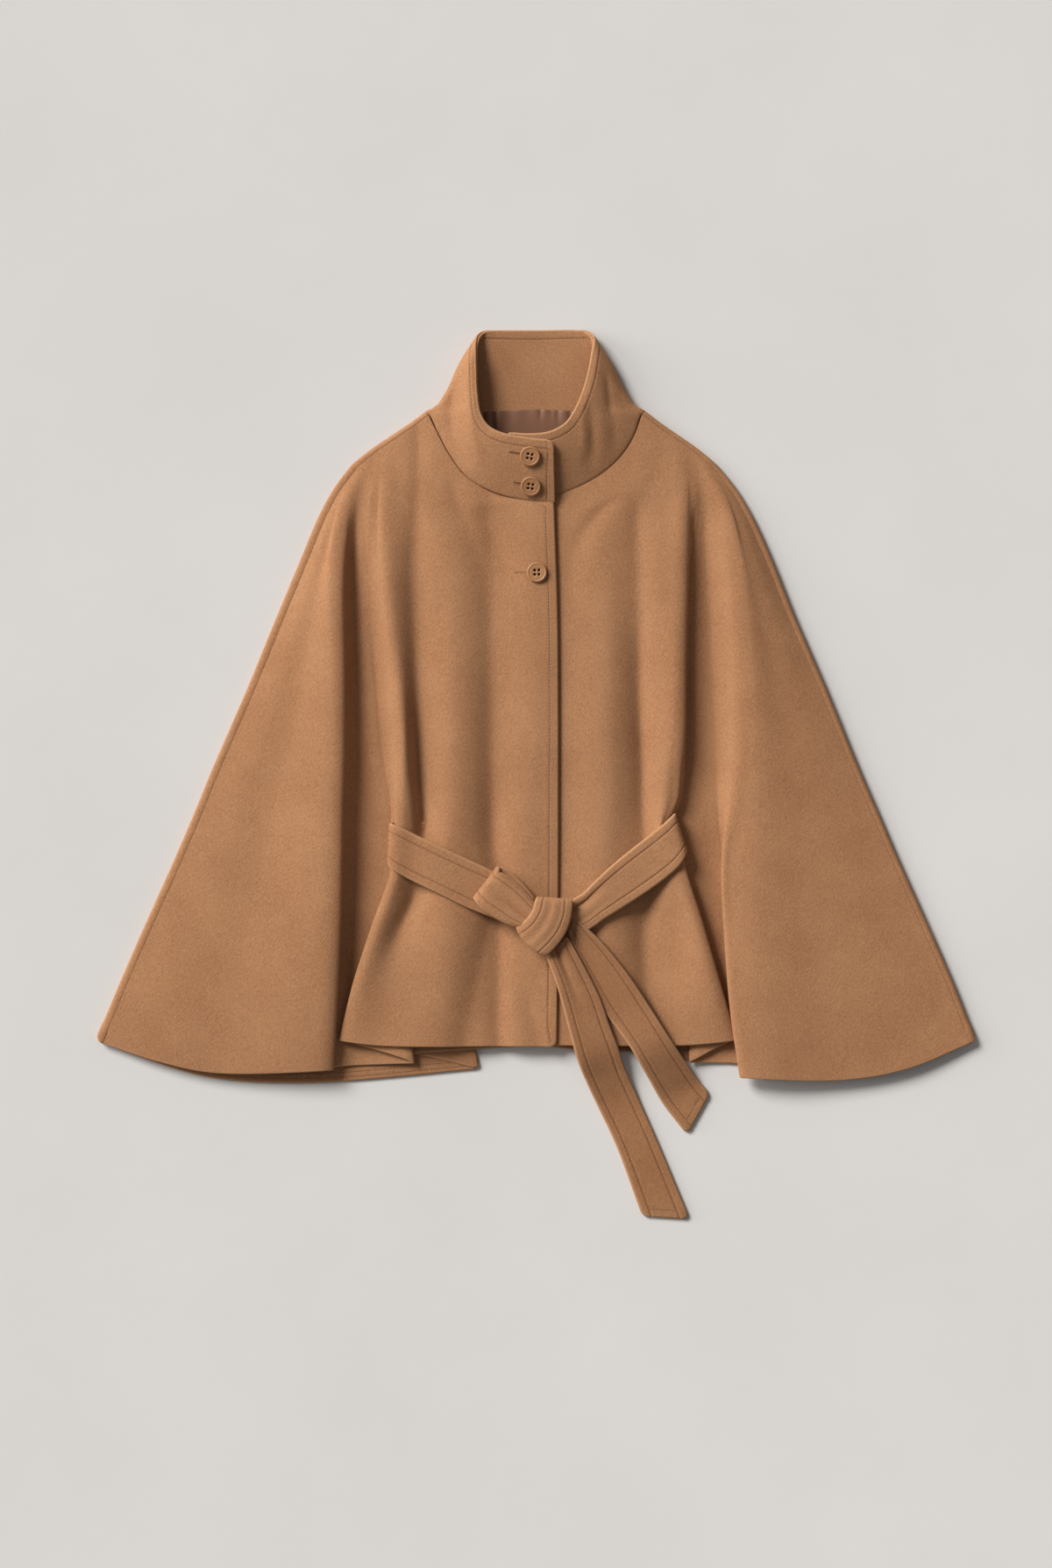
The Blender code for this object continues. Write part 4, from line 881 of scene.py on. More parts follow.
# Rows of points below the rim, in mm, closer together at the row of stitching
BELOW_RIM = (22, 18, 15, 12.5, 11, 10, 9.3, 8.6, 7.8, 6.5, 4.5, 2.5, 1.2, 0)
COLLAR_CREASES = (
    (Crease(418, -113, 0, 4, 5), Crease(425.5, -108, -5, 4, 5), Crease(441.5, -100, -6, 4, 5),
     Crease(457.5, -93, -4, 4, 5), Crease(473.5, -85, -2, 4, 5), Crease(486, -79, 0, 4, 5)),
    (Crease(470, -83, 0, 5, 7), Crease(455, -86, 1.5, 5, 7), Crease(447, -89, 3, 5, 7),
     Crease(438, -93, 3.6, 6, 8), Crease(424, -95.5, 4, 7, 9), Crease(404, -95.5, 4.4, 9, 9),
     Crease(385, -92, 3.8, 10, 9), Crease(362, -82, 2.4, 10, 9), Crease(345, -72, 0, 9, 9)),
    (Crease(478, -77, 0, 6, 5), Crease(462, -77, -1.2, 5, 4), Crease(430, -77, -1.6, 5, 4),
     Crease(400, -74, -1.8, 5, 5), Crease(380, -70, -1.6, 6, 6), Crease(362, -65, -1, 7, 7),
     Crease(345, -57, 0, 8, 8)),
    (Crease(415, 111, 0, 14, 4), Crease(425.5, 104, -7, 17, 4), Crease(441.5, 95.5, -9, 17, 4),
     Crease(457.5, 88.5, -7.5, 14, 4), Crease(473.5, 79.5, -4, 9, 4), Crease(487, 73, 0, 5, 4)),
    (Crease(462, 77, 0, 4, 4), Crease(448, 80, 1.6, 4, 4), Crease(430, 82, 2.2, 4, 5),
     Crease(412, 84, 2, 5, 7), Crease(392, 88, 1.6, 7, 10), Crease(370, 86, 0.8, 8, 10),
     Crease(352, 84, 0, 8, 9)),
    (Crease(425, 60, 0, 5, 6), Crease(408, 62, 1.6, 5, 6), Crease(385, 64, 2.2, 6, 7),
     Crease(362, 63, 1.8, 7, 8), Crease(340, 60, 0, 8, 8)),
    (Crease(412, 50, 0, 4, 5), Crease(395, 53, -1.2, 4, 5), Crease(375, 55, -1.2, 5, 5),
     Crease(360, 55, 0, 5, 5)),
)
COLLAR_WAIST = (8.0, 7.0)       # how far its left and right sides draw in above the seam
RIM_CURL = 2.2                  # how far the rim bends back down, and over what width
RIM_CURL_REACH = 4.5


def neck_points(neck, side):
    return [(out * side, y, z) for out, y, z in neck]


def collar_grid():
    """Middle surface of the outer collar, rows from the neck seam to the rim."""
    seam = neck_points(RIGHT_NECK, -1)[::-1] + [right_half[0][pick] for pick in BACK_PICKS]
    seam += [left_half[0][pick] for pick in BACK_PICKS[-2::-1]] + neck_points(LEFT_NECK, 1)
    last_end = [0] + sorted(1 - share for share in COLLAR_END[1:])
    around = [COLLAR_END] + [even(COLLAR_SECTION_STEPS)] * (len(COLLAR_RIM) - 3) + [last_end]
    low = curve_through(seam, around)
    high = curve_through([(r.x, r.y, r.z) for r in COLLAR_RIM], around)
    arch = curve_through([(r.arch, 0, 0) for r in COLLAR_RIM], around)[:, 0]
    height = np.linalg.norm(high - low, axis=1)
    rim_shares = 1 - np.array(BELOW_RIM)[:, None] / height
    base_shares = np.linspace(0, 1, COLLAR_ROWS, endpoint=False)[:, None] * rim_shares[:1]
    shares = np.vstack([base_shares, rim_shares])
    along = distance_along(high[None], 1)[0]
    drop = round_drop(along, COLLAR_CORNER) + round_drop(along[-1] - along, COLLAR_CORNER)
    shares = mix((NECK_EASE / height)[None, :], (1 - drop / height)[None, :], shares)
    grid = mix(low[None], high[None], shares[:, :, None])
    grid[:, :, 2] += np.sin(np.pi * shares) * arch[None, :]
    x, y = grid[:, :, 0], grid[:, :, 1]
    waist = soft_step(408, 421, y) * (1 - soft_step(424, 482, y)) * soft_step(0, 0.08, shares)
    outer = soft_step(66, 104, np.abs(x))
    grid[:, :, 0] = x - np.sign(x) * np.where(x < 0, *COLLAR_WAIST) * waist * outer
    aside = soft_step(30, 60, np.abs(high[:, 0])) * (1 - soft_step(480, 495, high[:, 1]))
    grid[:, :, 2] -= RIM_CURL * np.exp(-(height * (1 - shares) / RIM_CURL_REACH) ** 2) * aside
    return grid


def moved_off(grid, distance):
    return grid + grid_normals(grid) * distance


plain_collar = collar_grid()
off_floor = soft_step(3, 9, plain_collar[:, :, 2:])
outer_collar = mix(plain_collar, pressed(plain_collar, COLLAR_CREASES), off_floor)
to_rim = distance_along(outer_collar, 0, from_end=True)
from_ends = np.minimum(distance_along(outer_collar, 1), distance_along(outer_collar, 1, from_end=True))
end_wall = faced_wall(from_ends, COLLAR_STITCH, WOOL, COLLAR_TURNED)
end_wall = end_wall + 0.6 * soft_step(COLLAR_STITCH, COLLAR_STITCH + 4, from_ends)
collar_wall = np.minimum(faced_wall(to_rim, COLLAR_STITCH, WOOL, COLLAR_TURNED), end_wall)
collar_rows = np.maximum(stitched_at(to_rim, COLLAR_STITCH) * (from_ends > COLLAR_STITCH - 1),
                         stitched_at(from_ends, COLLAR_STITCH) * (to_rim > COLLAR_STITCH - 1))
collar_sewn = np.zeros(outer_collar.shape[:2], bool)
collar_sewn[0] = True
collar = cloth("collar_cloth", outer_collar, collar_wall, wool, sewn=collar_sewn, sunk=collar_rows)
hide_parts("collar")
inner_side = 1 if grid_normals(outer_collar)[20, len(outer_collar[0]) // 2, 2] > 0 else -1
inner_collar = moved_off(outer_collar, inner_side * (WOOL + COLLAR_PLY_GAP))
facing = cloth("collar_facing_cloth", inner_collar, collar_wall, wool, sunk=collar_rows)
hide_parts("collar_facing")


def collar_stitching(grid, turned_over):
    """The row round the rim and the row down its first end, on one face."""
    face, normal = upper_face(grid, collar_wall, turned_over)
    sideways = [np.swapaxes(field, 0, 1)[:, ::-1] for field in (face, normal, to_rim)]
    rim_row = row_at(*sideways, COLLAR_STITCH)
    inside = slice(2, -2)
    rim_row = tuple(part[inside] for part in rim_row)
    lower = slice(1, int(np.argmax(to_rim.min(axis=1) < COLLAR_STITCH)))
    ends = [row_at(face[lower], normal[lower], distance_along(grid, 1)[lower], COLLAR_STITCH)]
    return [rim_row] + ends


outer_stitching = stitching("collar_stitching", collar_stitching(outer_collar, False))
inner_stitching = stitching("collar_facing_stitching", collar_stitching(inner_collar, True)[:1])


# ---------------------------------------------------------------- neck lining
# Satin in a darker taupe, gathered into the seam below the inner collar. Only its top can be seen.
LINING_HALF_WIDTH = 104.0
LINING_TOP = 416.0
LINING_SIDE_DROP = 5.8
LINING_DEPTH = 112.0
LINING_SIDE_SHORT = 55.0
LINING_Z = 3.5
SATIN_WALL = 0.8
Pucker = namedtuple("Pucker", "x height width length")
PUFF = 2.2              # how far the lining stands up between its gathers, and how far down from its top
PUFF_LENGTH = 20
PUCKERS = (
    Pucker(-60, -2, 3, 20), Pucker(-49, -2.2, 3.2, 26), Pucker(-42, 1.4, 4, 22), Pucker(-30, -1.2, 7, 20),
    Pucker(-10, -0.8, 8, 14), Pucker(5, -1.3, 3, 10), Pucker(17, -1, 4, 9), Pucker(25, -1.5, 3.5, 12),
    Pucker(39, -1.6, 3.5, 14), Pucker(54, -1.2, 5, 18), Pucker(70, -1.2, 6, 30), Pucker(-80, -1.2, 6, 30),
)


def satin(name):
    material, _, shader = new_material(name)
    shader.inputs["Base Color"].default_value = linear("835a42")
    shader.inputs["Roughness"].default_value = 0.5
    return material


def lining_grid(columns=220, rows=60):
    x = np.linspace(-LINING_HALF_WIDTH, LINING_HALF_WIDTH, columns)[None, :]
    share = np.linspace(0, 1, rows)[:, None]
    aside = np.abs(x / LINING_HALF_WIDTH)
    below = (LINING_DEPTH - LINING_SIDE_SHORT * aside ** 2) * share
    lift = sum(p.height * np.exp(-((x - p.x) / p.width) ** 2 - (below / p.length) ** 2) for p in PUCKERS)
    lift = np.maximum(PUFF * np.exp(-(below / PUFF_LENGTH) ** 2) * (1 - aside ** 4) + lift, 0)
    y = LINING_TOP - LINING_SIDE_DROP * aside - below
    return np.stack([x + 0 * share, y, LINING_Z + lift], axis=2)


lining = cloth("neck_lining_cloth", lining_grid(), SATIN_WALL, satin("taupe satin lining"))
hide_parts("neck_lining")


# ---------------------------------------------------------------- buttons and buttonholes
# Three four-hole buttons of cast resin dyed to the wool, 23 mm across, with a raised rim and a sunk middle.
# Each is sewn on with a short shank of thread and goes through a worked buttonhole.
BUTTON_STAND = 0.7
BUTTON_SIDES = 72
BUTTON_PROFILE = (          # (radius, height)
    (0, 0), (9, 0), (10.6, 0.5), (11.3, 1.2), (11.5, 2), (11.3, 2.7), (10.8, 3.2), (10.1, 3.4), (9.5, 3.35),
    (9.1, 3.2), (8.8, 3), (8.5, 2.9), (8.2, 2.95), (7.9, 3), (6, 2.85), (0, 2.8))
HOLE_RADIUS = 1.5
HOLE_SPACING = 4.8
HOLE_SIDES = 24
DRILL_LENGTH = 12
SHANK_RADIUS = 4.4
SHANK_HEIGHT = 1
SHANK_SIDES = 24
SLIT_HALF = 0.45        # half width of a buttonhole's slit
HOLE_THREAD = 0.3       # radius of the twist round it, and of the dark line along the slit, which is painted shadow
SLIT_SHADOW_RADIUS = 0.26
SLIT_LIFT = 0.1         # how far that line lies above the cloth
BUTTONED_END = 100      # columns of the collar that hold its buttoned end
ButtonPlace = namedtuple("ButtonPlace", "node x y hole_from hole_to")
BUTTON_PLACES = (
    ButtonPlace("button_1", -6.9, 361, (-30, 365.5), (-6, 362)),
    ButtonPlace("button_2", -6, 327.7, (-25, 331.5), (-5, 328.5)),
    ButtonPlace("button_3", 1, 229.5, (-24, 229.9), (2, 229.5)),
)


def resin(name):
    material, tree, shader = new_material(name)
    place = add_node(tree, "TexCoord").outputs["Object"]
    cloudy = add_node(tree, "TexNoise", {"Vector": place, "Scale": 180.0, "Detail": 2.0})
    tree.links.new(blend(tree, cloudy.outputs["Fac"], "9e6d45", "af7b52"), shader.inputs["Base Color"])
    shader.inputs["Roughness"].default_value = 0.42
    return material


camel_resin = resin("camel cast resin")
# Near black, so that the shank shows dark through the holes: thread, partly painted shade. It also draws each
# buttonhole's slit as painted shadow.
dark_thread_and_painted_shade = thread_material("near black button thread, also painted slit shadow", "241309")


def turned_mesh(name, profile, sides):
    """A mesh turned round Z from (radius, height) points that start and end on the axis."""
    points = [(0, 0, profile[0][1])]
    for radius, height in profile[1:-1]:
        for k in range(sides):
            turn = 2 * math.pi * k / sides
            points.append((radius * math.cos(turn), radius * math.sin(turn), height))
    points.append((0, 0, profile[-1][1]))
    faces = [(0, 1 + (k + 1) % sides, 1 + k) for k in range(sides)]
    for ring in range(len(profile) - 3):
        low = 1 + ring * sides
        for k in range(sides):
            following = (k + 1) % sides
            faces.append((low + k, low + following, low + sides + following, low + sides + k))
    top = len(points) - 1
    faces += [(top - sides + k, top - sides + (k + 1) % sides, top) for k in range(sides)]
    mesh = bpy.data.meshes.new(name)
    mesh.from_pydata((np.array(points) * MM).tolist(), [], faces)
    mesh.shade_smooth()
    return mesh


def drilled_button():
    """The button's mesh with its four holes."""
    blank = bpy.data.objects.new("button_blank", turned_mesh("button_blank", BUTTON_PROFILE, BUTTON_SIDES))
    drill = bpy.data.objects.new("button_drill", bpy.data.meshes.new("button_drill"))
    work = bmesh.new()
    for x in (-0.5, 0.5):
        for y in (-0.5, 0.5):
            place = Vector((x, y, 0)) * HOLE_SPACING * MM
            bmesh.ops.create_cone(work, cap_ends=True, segments=HOLE_SIDES, depth=DRILL_LENGTH * MM,
                                  radius1=HOLE_RADIUS * MM, radius2=HOLE_RADIUS * MM,
                                  matrix=Matrix.Translation(place))
    work.to_mesh(drill.data)
    work.free()
    for piece in (blank, drill):
        bpy.context.scene.collection.objects.link(piece)
    holes = blank.modifiers.new("holes", "BOOLEAN")
    holes.operation = "DIFFERENCE"
    holes.object = drill
    drilled = bpy.data.meshes.new_from_object(blank.evaluated_get(bpy.context.evaluated_depsgraph_get()))
    for piece in (blank, drill):
        bpy.data.objects.remove(piece, do_unlink=True)
    drilled.materials.clear()
    drilled.materials.append(camel_resin)
    return drilled


def on_face(face, normal, x, y):
    """The point of a cloth's face over (x, y) and its normal there."""
    away = np.hypot(face[:, :, 0] - x, face[:, :, 1] - y) + 10 * (normal[:, :, 2] < 0)
    near = np.argsort(away, axis=None)[:4]
    share = 1 / (away.reshape(-1)[near] + 0.05)
    share = share / share.sum()
    upward = (normal.reshape(-1, 3)[near] * share[:, None]).sum(axis=0)
    z = (face.reshape(-1, 3)[near, 2] * share).sum()
    return np.array([x, y, z]), upward / np.linalg.norm(upward)


def buttonhole(name, face, normal, start, end, pitch=0.8, reach=1.6):
    """A worked buttonhole: stitches set side by side round a slit, and a dark line along the slit, painted
    shadow of its opening.
    """
    start, end = np.array(start, float), np.array(end, float)
    ahead = (end - start) / np.linalg.norm(end - start)
    aside = np.array([-ahead[1], ahead[0]])
    ends, normals = [], []
    for number in range(int(np.linalg.norm(end - start) / pitch)):
        place = start + ahead * pitch * number
        for way in (-1, 1):
            near, upward = on_face(face, normal, *(place + aside * way * SLIT_HALF))
            far = on_face(face, normal, *(place + aside * way * reach))[0]
            ends.append((near, far))
            normals.append(upward)
    for turn in np.linspace(90, 270, 7):
        way = ahead * math.cos(math.radians(turn)) + aside * math.sin(math.radians(turn))
        near, upward = on_face(face, normal, *(start + way * SLIT_HALF))
        ends.append((near, on_face(face, normal, *(start + way * reach))[0]))
        normals.append(upward)
    stitches(name, ends, normals, HOLE_THREAD, hole_thread)
    places = np.arange(0, np.linalg.norm(end - start), 3)
    slit = [on_face(face, normal, *(start + ahead * place)) for place in places]
    slit_ends = [(a[0] + a[1] * SLIT_LIFT, b[0] + b[1] * SLIT_LIFT) for a, b in zip(slit, slit[1:])]
    painted_slit_shadow = stitches(name + "_slit", slit_ends, [a[1] for a in slit[1:]], SLIT_SHADOW_RADIUS, dark_thread_and_painted_shade)


hole_thread = thread_material("buttonhole twist", "a3724d")
button_mesh = drilled_button()
collar_face = [field[:, :BUTTONED_END] for field in upper_face(outer_collar, collar_wall)]
front_face = upper_face(right_grid, WOOL)
SHANK_PROFILE = ((0, 0), (SHANK_RADIUS, 0), (SHANK_RADIUS, SHANK_HEIGHT), (0, SHANK_HEIGHT))
shank_mesh = turned_mesh("button_shank", SHANK_PROFILE, SHANK_SIDES)
shank_mesh.materials.append(dark_thread_and_painted_shade)
for place in BUTTON_PLACES:
    face, normal = front_face if place.node == "button_3" else collar_face
    point, upward = on_face(face, normal, place.x, place.y)
    turn = Vector(upward).to_track_quat("Z", "Y").to_euler()
    for name, mesh, stand in ((place.node + "_resin", button_mesh, BUTTON_STAND),
                              (place.node + "_shank", shank_mesh, 0)):
        piece = bpy.data.objects.new(name, mesh.copy())
        piece.location = (point + upward * stand) * MM
        piece.rotation_euler = turn
        bpy.context.scene.collection.objects.link(piece)
        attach(piece, "root")
        if mesh is button_mesh:
            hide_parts(place.node)
    buttonhole(place.node + "_hole", face, normal, place.hole_from, place.hole_to)


# ---------------------------------------------------------------- tie belt
# One long strip of the wool folded double, 45 mm wide and stitched 8 mm inside both edges. It comes out
# through a slit at each side and is tied in a half bow: one loop, a knot and two tails that cross the hem.
BELT_THICK = 4.0
BELT_PUFFED = 4.4       # its wall between an edge and its row of stitching
BELT_STITCH = 8.0
BELT_GROOVE = 1.4       # how far its stitching pulls the wall in
Station = namedtuple("Station", "upper lower z ahead")
BELT_STRETCHES = {
    "belt_run_right": (
        Station((-141.5, -54.5), (-145.5, -100), 6.8, 0), Station((-158, -54.5), (-161, -100), 8.8, 0),
        Station((-163.4, -55), (-166, -100.5), 12.6, 0), Station((-165.2, -55.5), (-167.6, -101), 17.8, 0),
        Station((-163.4, -56.5), (-166.6, -104), 22.6, 0), Station((-157.5, -59), (-161.5, -109), 25, 0),
        Station((-137.5, -68.5), (-141.5, -120.5), 24, 0),
        Station((-106.5, -83.5), (-110.5, -135.5), 25.8, 0),
        Station((-76.5, -97.5), (-77.5, -151.5), 24.4, 0), Station((-49.5, -110.5), (-49.5, -162.5), 22.8, 0),
        Station((-26.5, -126.5), (-33, -168.5), 23.4, 0), Station((-10, -146.5), (-23.5, -170), 23.8, 2)),
    "belt_run_left": (
        Station((44.8, -146.5), (44.6, -159.5), 24, 0), Station((52, -137), (60.5, -174), 24, 0),
        Station((66, -122.5), (78, -164), 24.2, 0), Station((88.5, -101.5), (104.5, -147.5), 23.6, 0),
        Station((123.5, -73.5), (138.5, -124.5), 24.4, 0), Station((148, -55.5), (160.5, -106), 25.8, 0),
        Station((161, -47), (167.5, -95.5), 24.8, 0), Station((166.8, -45), (169.3, -90.5), 22, 0),
        Station((168.4, -44.5), (170, -89), 17.6, 0), Station((166.6, -44), (168.2, -88.5), 12.4, 0),
        Station((161.5, -44), (163, -88.5), 8.8, 0), Station((145, -45), (148, -90), 6.8, 0)),
    "belt_back_run": (
        Station((-140.8, -54.5), (-144.8, -100), 6.8, 0), Station((-118, -54), (-120, -100), 5.4, 0),
        Station((-80, -53), (-80, -98.5), 4.9, 0), Station((0, -50), (0, -95), 4.8, 0),
        Station((80, -47), (81, -92), 4.9, 0), Station((120, -46), (122, -91), 5.4, 0),
        Station((144.3, -45), (147.3, -90), 6.8, 0)),
    "belt_loop": (
        Station((-3.5, -142), (-22.5, -168.5), 28.8, 8), Station((-19.5, -123.5), (-43.5, -161.5), 28.4, 0),
        Station((-33.5, -110.5), (-60.5, -149.5), 28.2, 0), Station((-40.5, -106.5), (-68.5, -145), 28.6, 0),
        Station((-42.5, -105), (-70.5, -141.5), 31, 0), Station((-40.5, -106.5), (-68.5, -145), 33.4, 0),
        Station((-33.5, -109.5), (-61.5, -152.5), 33.8, 0), Station((-18.5, -121.5), (-43.5, -163.5), 34, 0),
        Station((-2.5, -142), (-22, -168.5), 34.2, -8)),
    "belt_tail_long": (
        Station((12, -208.6), (36.4, -185.6), 28, 5), Station((21.5, -233), (52, -213), 26.6, 0),
        Station((30.5, -264), (72.5, -254), 24, 0), Station((39, -296), (83, -284), 21.8, 0),
        Station((47.5, -326.5), (92.5, -308.5), 18.6, 0), Station((58, -352), (103, -339), 9.5, 0),
        Station((70.5, -378.5), (115.5, -367.5), 3.6, 0), Station((91.5, -423.5), (136.5, -414.5), 2.2, 0),
        Station((120.5, -502), (174.5, -505.5), 2.1, 0)),
    "belt_tail_short": (
        Station((37.8, -181.6), (44.6, -163.2), 24, 0), Station((50.5, -205), (71.5, -187.5), 23.6, 0),
        Station((68, -239), (101.5, -223.5), 22.6, 0), Station((88, -275), (127, -261), 21.2, 0),
        Station((111.5, -317.5), (152, -300), 21.4, 0), Station((130, -350), (172, -330), 11.2, 0),
        Station((145, -376), (186, -350), 3.6, 0), Station((171, -409.5), (197, -363), 2.1, 0)),
}
# Places across the belt, in mm from its upper edge, closer together at the rows of stitching
BELT_WIDTH = 45.0
BELT_ACROSS = [0, 1, 2.5, 4.5, 6, 7, 7.6, 8, 8.4, 9, 10, 12, 15, 18.5, 22.5]
BELT_ACROSS += [BELT_WIDTH - place for place in BELT_ACROSS[-2::-1]]
BELT_SHARES = np.array(BELT_ACROSS)[None, :] / BELT_WIDTH
BELT_FROM_EDGE = np.minimum(np.array(BELT_ACROSS), BELT_WIDTH - np.array(BELT_ACROSS))
BELT_ROW = BELT_ACROSS.index(BELT_STITCH)
BELT_EDGE_COLUMNS = (BELT_ROW, -1 - BELT_ROW)   # the columns that lie on its two rows of stitching


def belt_grid(stations, steps=10):
    """Middle surface of a stretch of belt, rows along it by columns across it."""
    spans = [even(steps)] * (len(stations) - 1)
    upper = curve_through([(*s.upper, s.z) for s in stations], spans)
    lower = curve_through([(*s.lower, s.z) for s in stations], spans)
    across = lower - upper
    inset = across / np.linalg.norm(across, axis=1, keepdims=True) * BELT_THICK / 2
    upper, lower = upper + inset, lower - inset
    return mix(upper[:, None], lower[:, None], BELT_SHARES[:, :, None])


def belt_wall(grid):
    """Wall across the belt: two layers, puffed between each edge and its row of stitching."""
    wall = mix(BELT_PUFFED, BELT_THICK, soft_step(BELT_STITCH, BELT_STITCH + 5, BELT_FROM_EDGE))
    return np.broadcast_to(wall, grid.shape[:2]) - BELT_GROOVE * belt_rows(grid)


def belt_rows(grid, end_too=False):
    """1 on the belt's rows of stitching: one along each edge and, on a tail, one across its end."""
    rows = np.broadcast_to(stitched_at(BELT_FROM_EDGE, BELT_STITCH), grid.shape[:2])
    if end_too:
        across = stitched_at(distance_along(grid, 0, from_end=True), BELT_STITCH)
        rows = np.maximum(rows, across * (BELT_FROM_EDGE >= BELT_STITCH))
    return rows


def to_first_edge(grid):
    """Unit vectors from the last edge of a stretch to its first, row by row."""
    aside = grid[:, :1] - grid[:, -1:]
    return aside / np.linalg.norm(aside, axis=2, keepdims=True)


def loop_shape(grid):
    """The loop with its upper layer dented towards the knot and its end tucked under it. The edge of its
    lower layer shows beside the upper one."""
    rows = len(grid)
    place = np.arange(rows)[:, None] / (rows - 1)
    across = BELT_SHARES
    upper = soft_step(0.54, 0.8, place)
    shaped = grid.copy()
    puffed = (1 - np.exp(-((across - 0.52) / 0.15) ** 2)) * (1 - (2 * across - 1) ** 6)
    shaped[:, :, 2] += 3.2 * upper * puffed
    shaped[:, :, 2] -= 3.2 * soft_step(0.8, 0.95, place) * np.exp(-((across - 0.52) / 0.07) ** 2)
    shaped[:, :, 2] += 1.4 * soft_step(0.8, 0.95, place) * np.exp(-((across - 0.36) / 0.07) ** 2)
    shaped[:, :, 1] -= 5 * soft_step(0.82, 1, place) * across ** 2
    aside = to_first_edge(grid)
    shaped += (2.8 * (1 - soft_step(0.3, 0.46, place)) * (1 - across) ** 3)[:, :, None] * aside
    set_back = soft_step(0.56, 0.68, place) * (1 - 0.6 * soft_step(0.8, 0.98, place)) * (1 - across) ** 3
    shaped -= (4.5 * set_back)[:, :, None] * aside
    tuck = 13 * soft_step(0.84, 1, place) * (1 - across ** 2)
    ahead = (grid[-1, 4] - grid[-8, 4]) / np.linalg.norm(grid[-1, 4] - grid[-8, 4])
    return shaped + tuck[:, :, None] * ahead


def gathered(grid, reach, *places):
    """The grid with ridges and dents that run out from its first end over a length of reach. places gives for
    each its share across the belt and its height."""
    away = distance_along(grid, 0)
    across = BELT_SHARES
    shaped = grid.copy()
    for place, height in places:
        shaped[:, :, 2] += height * np.exp(-((across - place) / 0.09) ** 2 - (away / reach) ** 1.5)
    return shaped


def spread_under(grid, last, reach, sunk):
    """The grid with its first edge pushed out and down under the stretch beside it, up to the row last."""
    row = np.arange(len(grid))[:, None]
    across = BELT_SHARES
    share = soft_step(0, 6, row) * (1 - soft_step(last - 14, last, row)) * (1 - across) ** 2
    spread = grid + (share * reach)[:, :, None] * to_first_edge(grid)
    spread[:, :, 2] -= share * sunk
    return spread


def run_under_knot(grid, rows=14):
    """The left run with its end led in under the knot, and its lower edge under the tails."""
    share = (1 - soft_step(0, rows, np.arange(len(grid))))[:, None]
    across = BELT_SHARES
    led = grid.copy()
    led[:, :, 0] -= 9 * share
    led[:, :, 1] -= 17 * share * across
    led[:, :, 2] -= 3.6 * share * across
    return led


def rounded_end(grid, radius=5.0):
    """The grid of a tail with the two corners of its end rounded."""
    across = np.linalg.norm(grid[-1] - grid[-1, :1], axis=1)
    back = round_drop(across, radius) + round_drop(across[-1] - across, radius)
    ahead = (grid[-1] - grid[-3]) / np.linalg.norm(grid[-1] - grid[-3], axis=1, keepdims=True)
    near = 1 - soft_step(0, 25, distance_along(grid, 0, from_end=True))
    return grid - (near * back[None, :])[:, :, None] * ahead[None]


def slanted(grid, inward=11.0):
    """The left run with its upper edge drawn in where it goes round the side of the body."""
    rows = np.arange(len(grid))[:, None]
    across = BELT_SHARES
    drawn = grid.copy()
    drawn[:, :, 0] -= inward * soft_step(40, 78, rows) * (1 - 0.45 * soft_step(88, 112, rows)) * (1 - across)
    return drawn


TAILS = ("belt_tail_long", "belt_tail_short")
Cut = namedtuple("Cut", "width length held rests_on")
# A darker copy of the same wool for the tails: painted shade
shaded_tail_wool = brushed_wool("brushed camel wool coating, darker for painted shade", "a67753", "8f6140")
belt_grids = {}
for node, stations in BELT_STRETCHES.items():
    grid = belt_grid(stations)
    if node == "belt_loop":
        grid = loop_shape(grid)
    elif node == "belt_run_left":
        grid = slanted(gathered(run_under_knot(grid), 34, (0.06, 1.2), (0.24, -3), (0.5, 1.6), (0.84, 1.2)))
    elif node == "belt_tail_long":
        grid = rounded_end(gathered(grid, 42, (0.16, 1.2), (0.42, -4), (0.7, 1)))
    elif node == "belt_tail_short":
        grid = rounded_end(gathered(spread_under(grid, 40, 7, 2), 36, (0.3, -1.6), (0.75, 1)))
    belt_grids[node] = grid
    end_too = node in TAILS
    wall = belt_wall(grid) - BELT_GROOVE * (belt_rows(grid, end_too) - belt_rows(grid))
    piece = cloth(node + "_cloth", grid, wall, shaded_tail_wool if end_too else wool, sunk=belt_rows(grid, end_too))
    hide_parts(node)
    if node == "belt_back_run":
        continue
    face, normal = upper_face(grid, wall)
    if node == "belt_loop":
        half = len(grid) // 2 - 6
        face, normal = face[half:], normal[half:]
        normal[normal[:, :, 2] < 0] *= -1
    rows = [(face[1:-2, column], normal[1:-2, column]) for column in BELT_EDGE_COLUMNS]
    if end_too:
        to_end = distance_along(grid, 0, from_end=True)
        sideways = [np.swapaxes(field, 0, 1)[BELT_ROW:-BELT_ROW, ::-1] for field in (face, normal, to_end)]
        across_end = row_at(*sideways, BELT_STITCH)
        stop = len(face) - int(np.argmin(np.abs(to_end[::-1, BELT_ROW] - BELT_STITCH)))
        rows = [(face[1:stop, column], normal[1:stop, column]) for column in BELT_EDGE_COLUMNS] + [across_end]
    belt_stitching = stitching(node + "_stitching", rows)

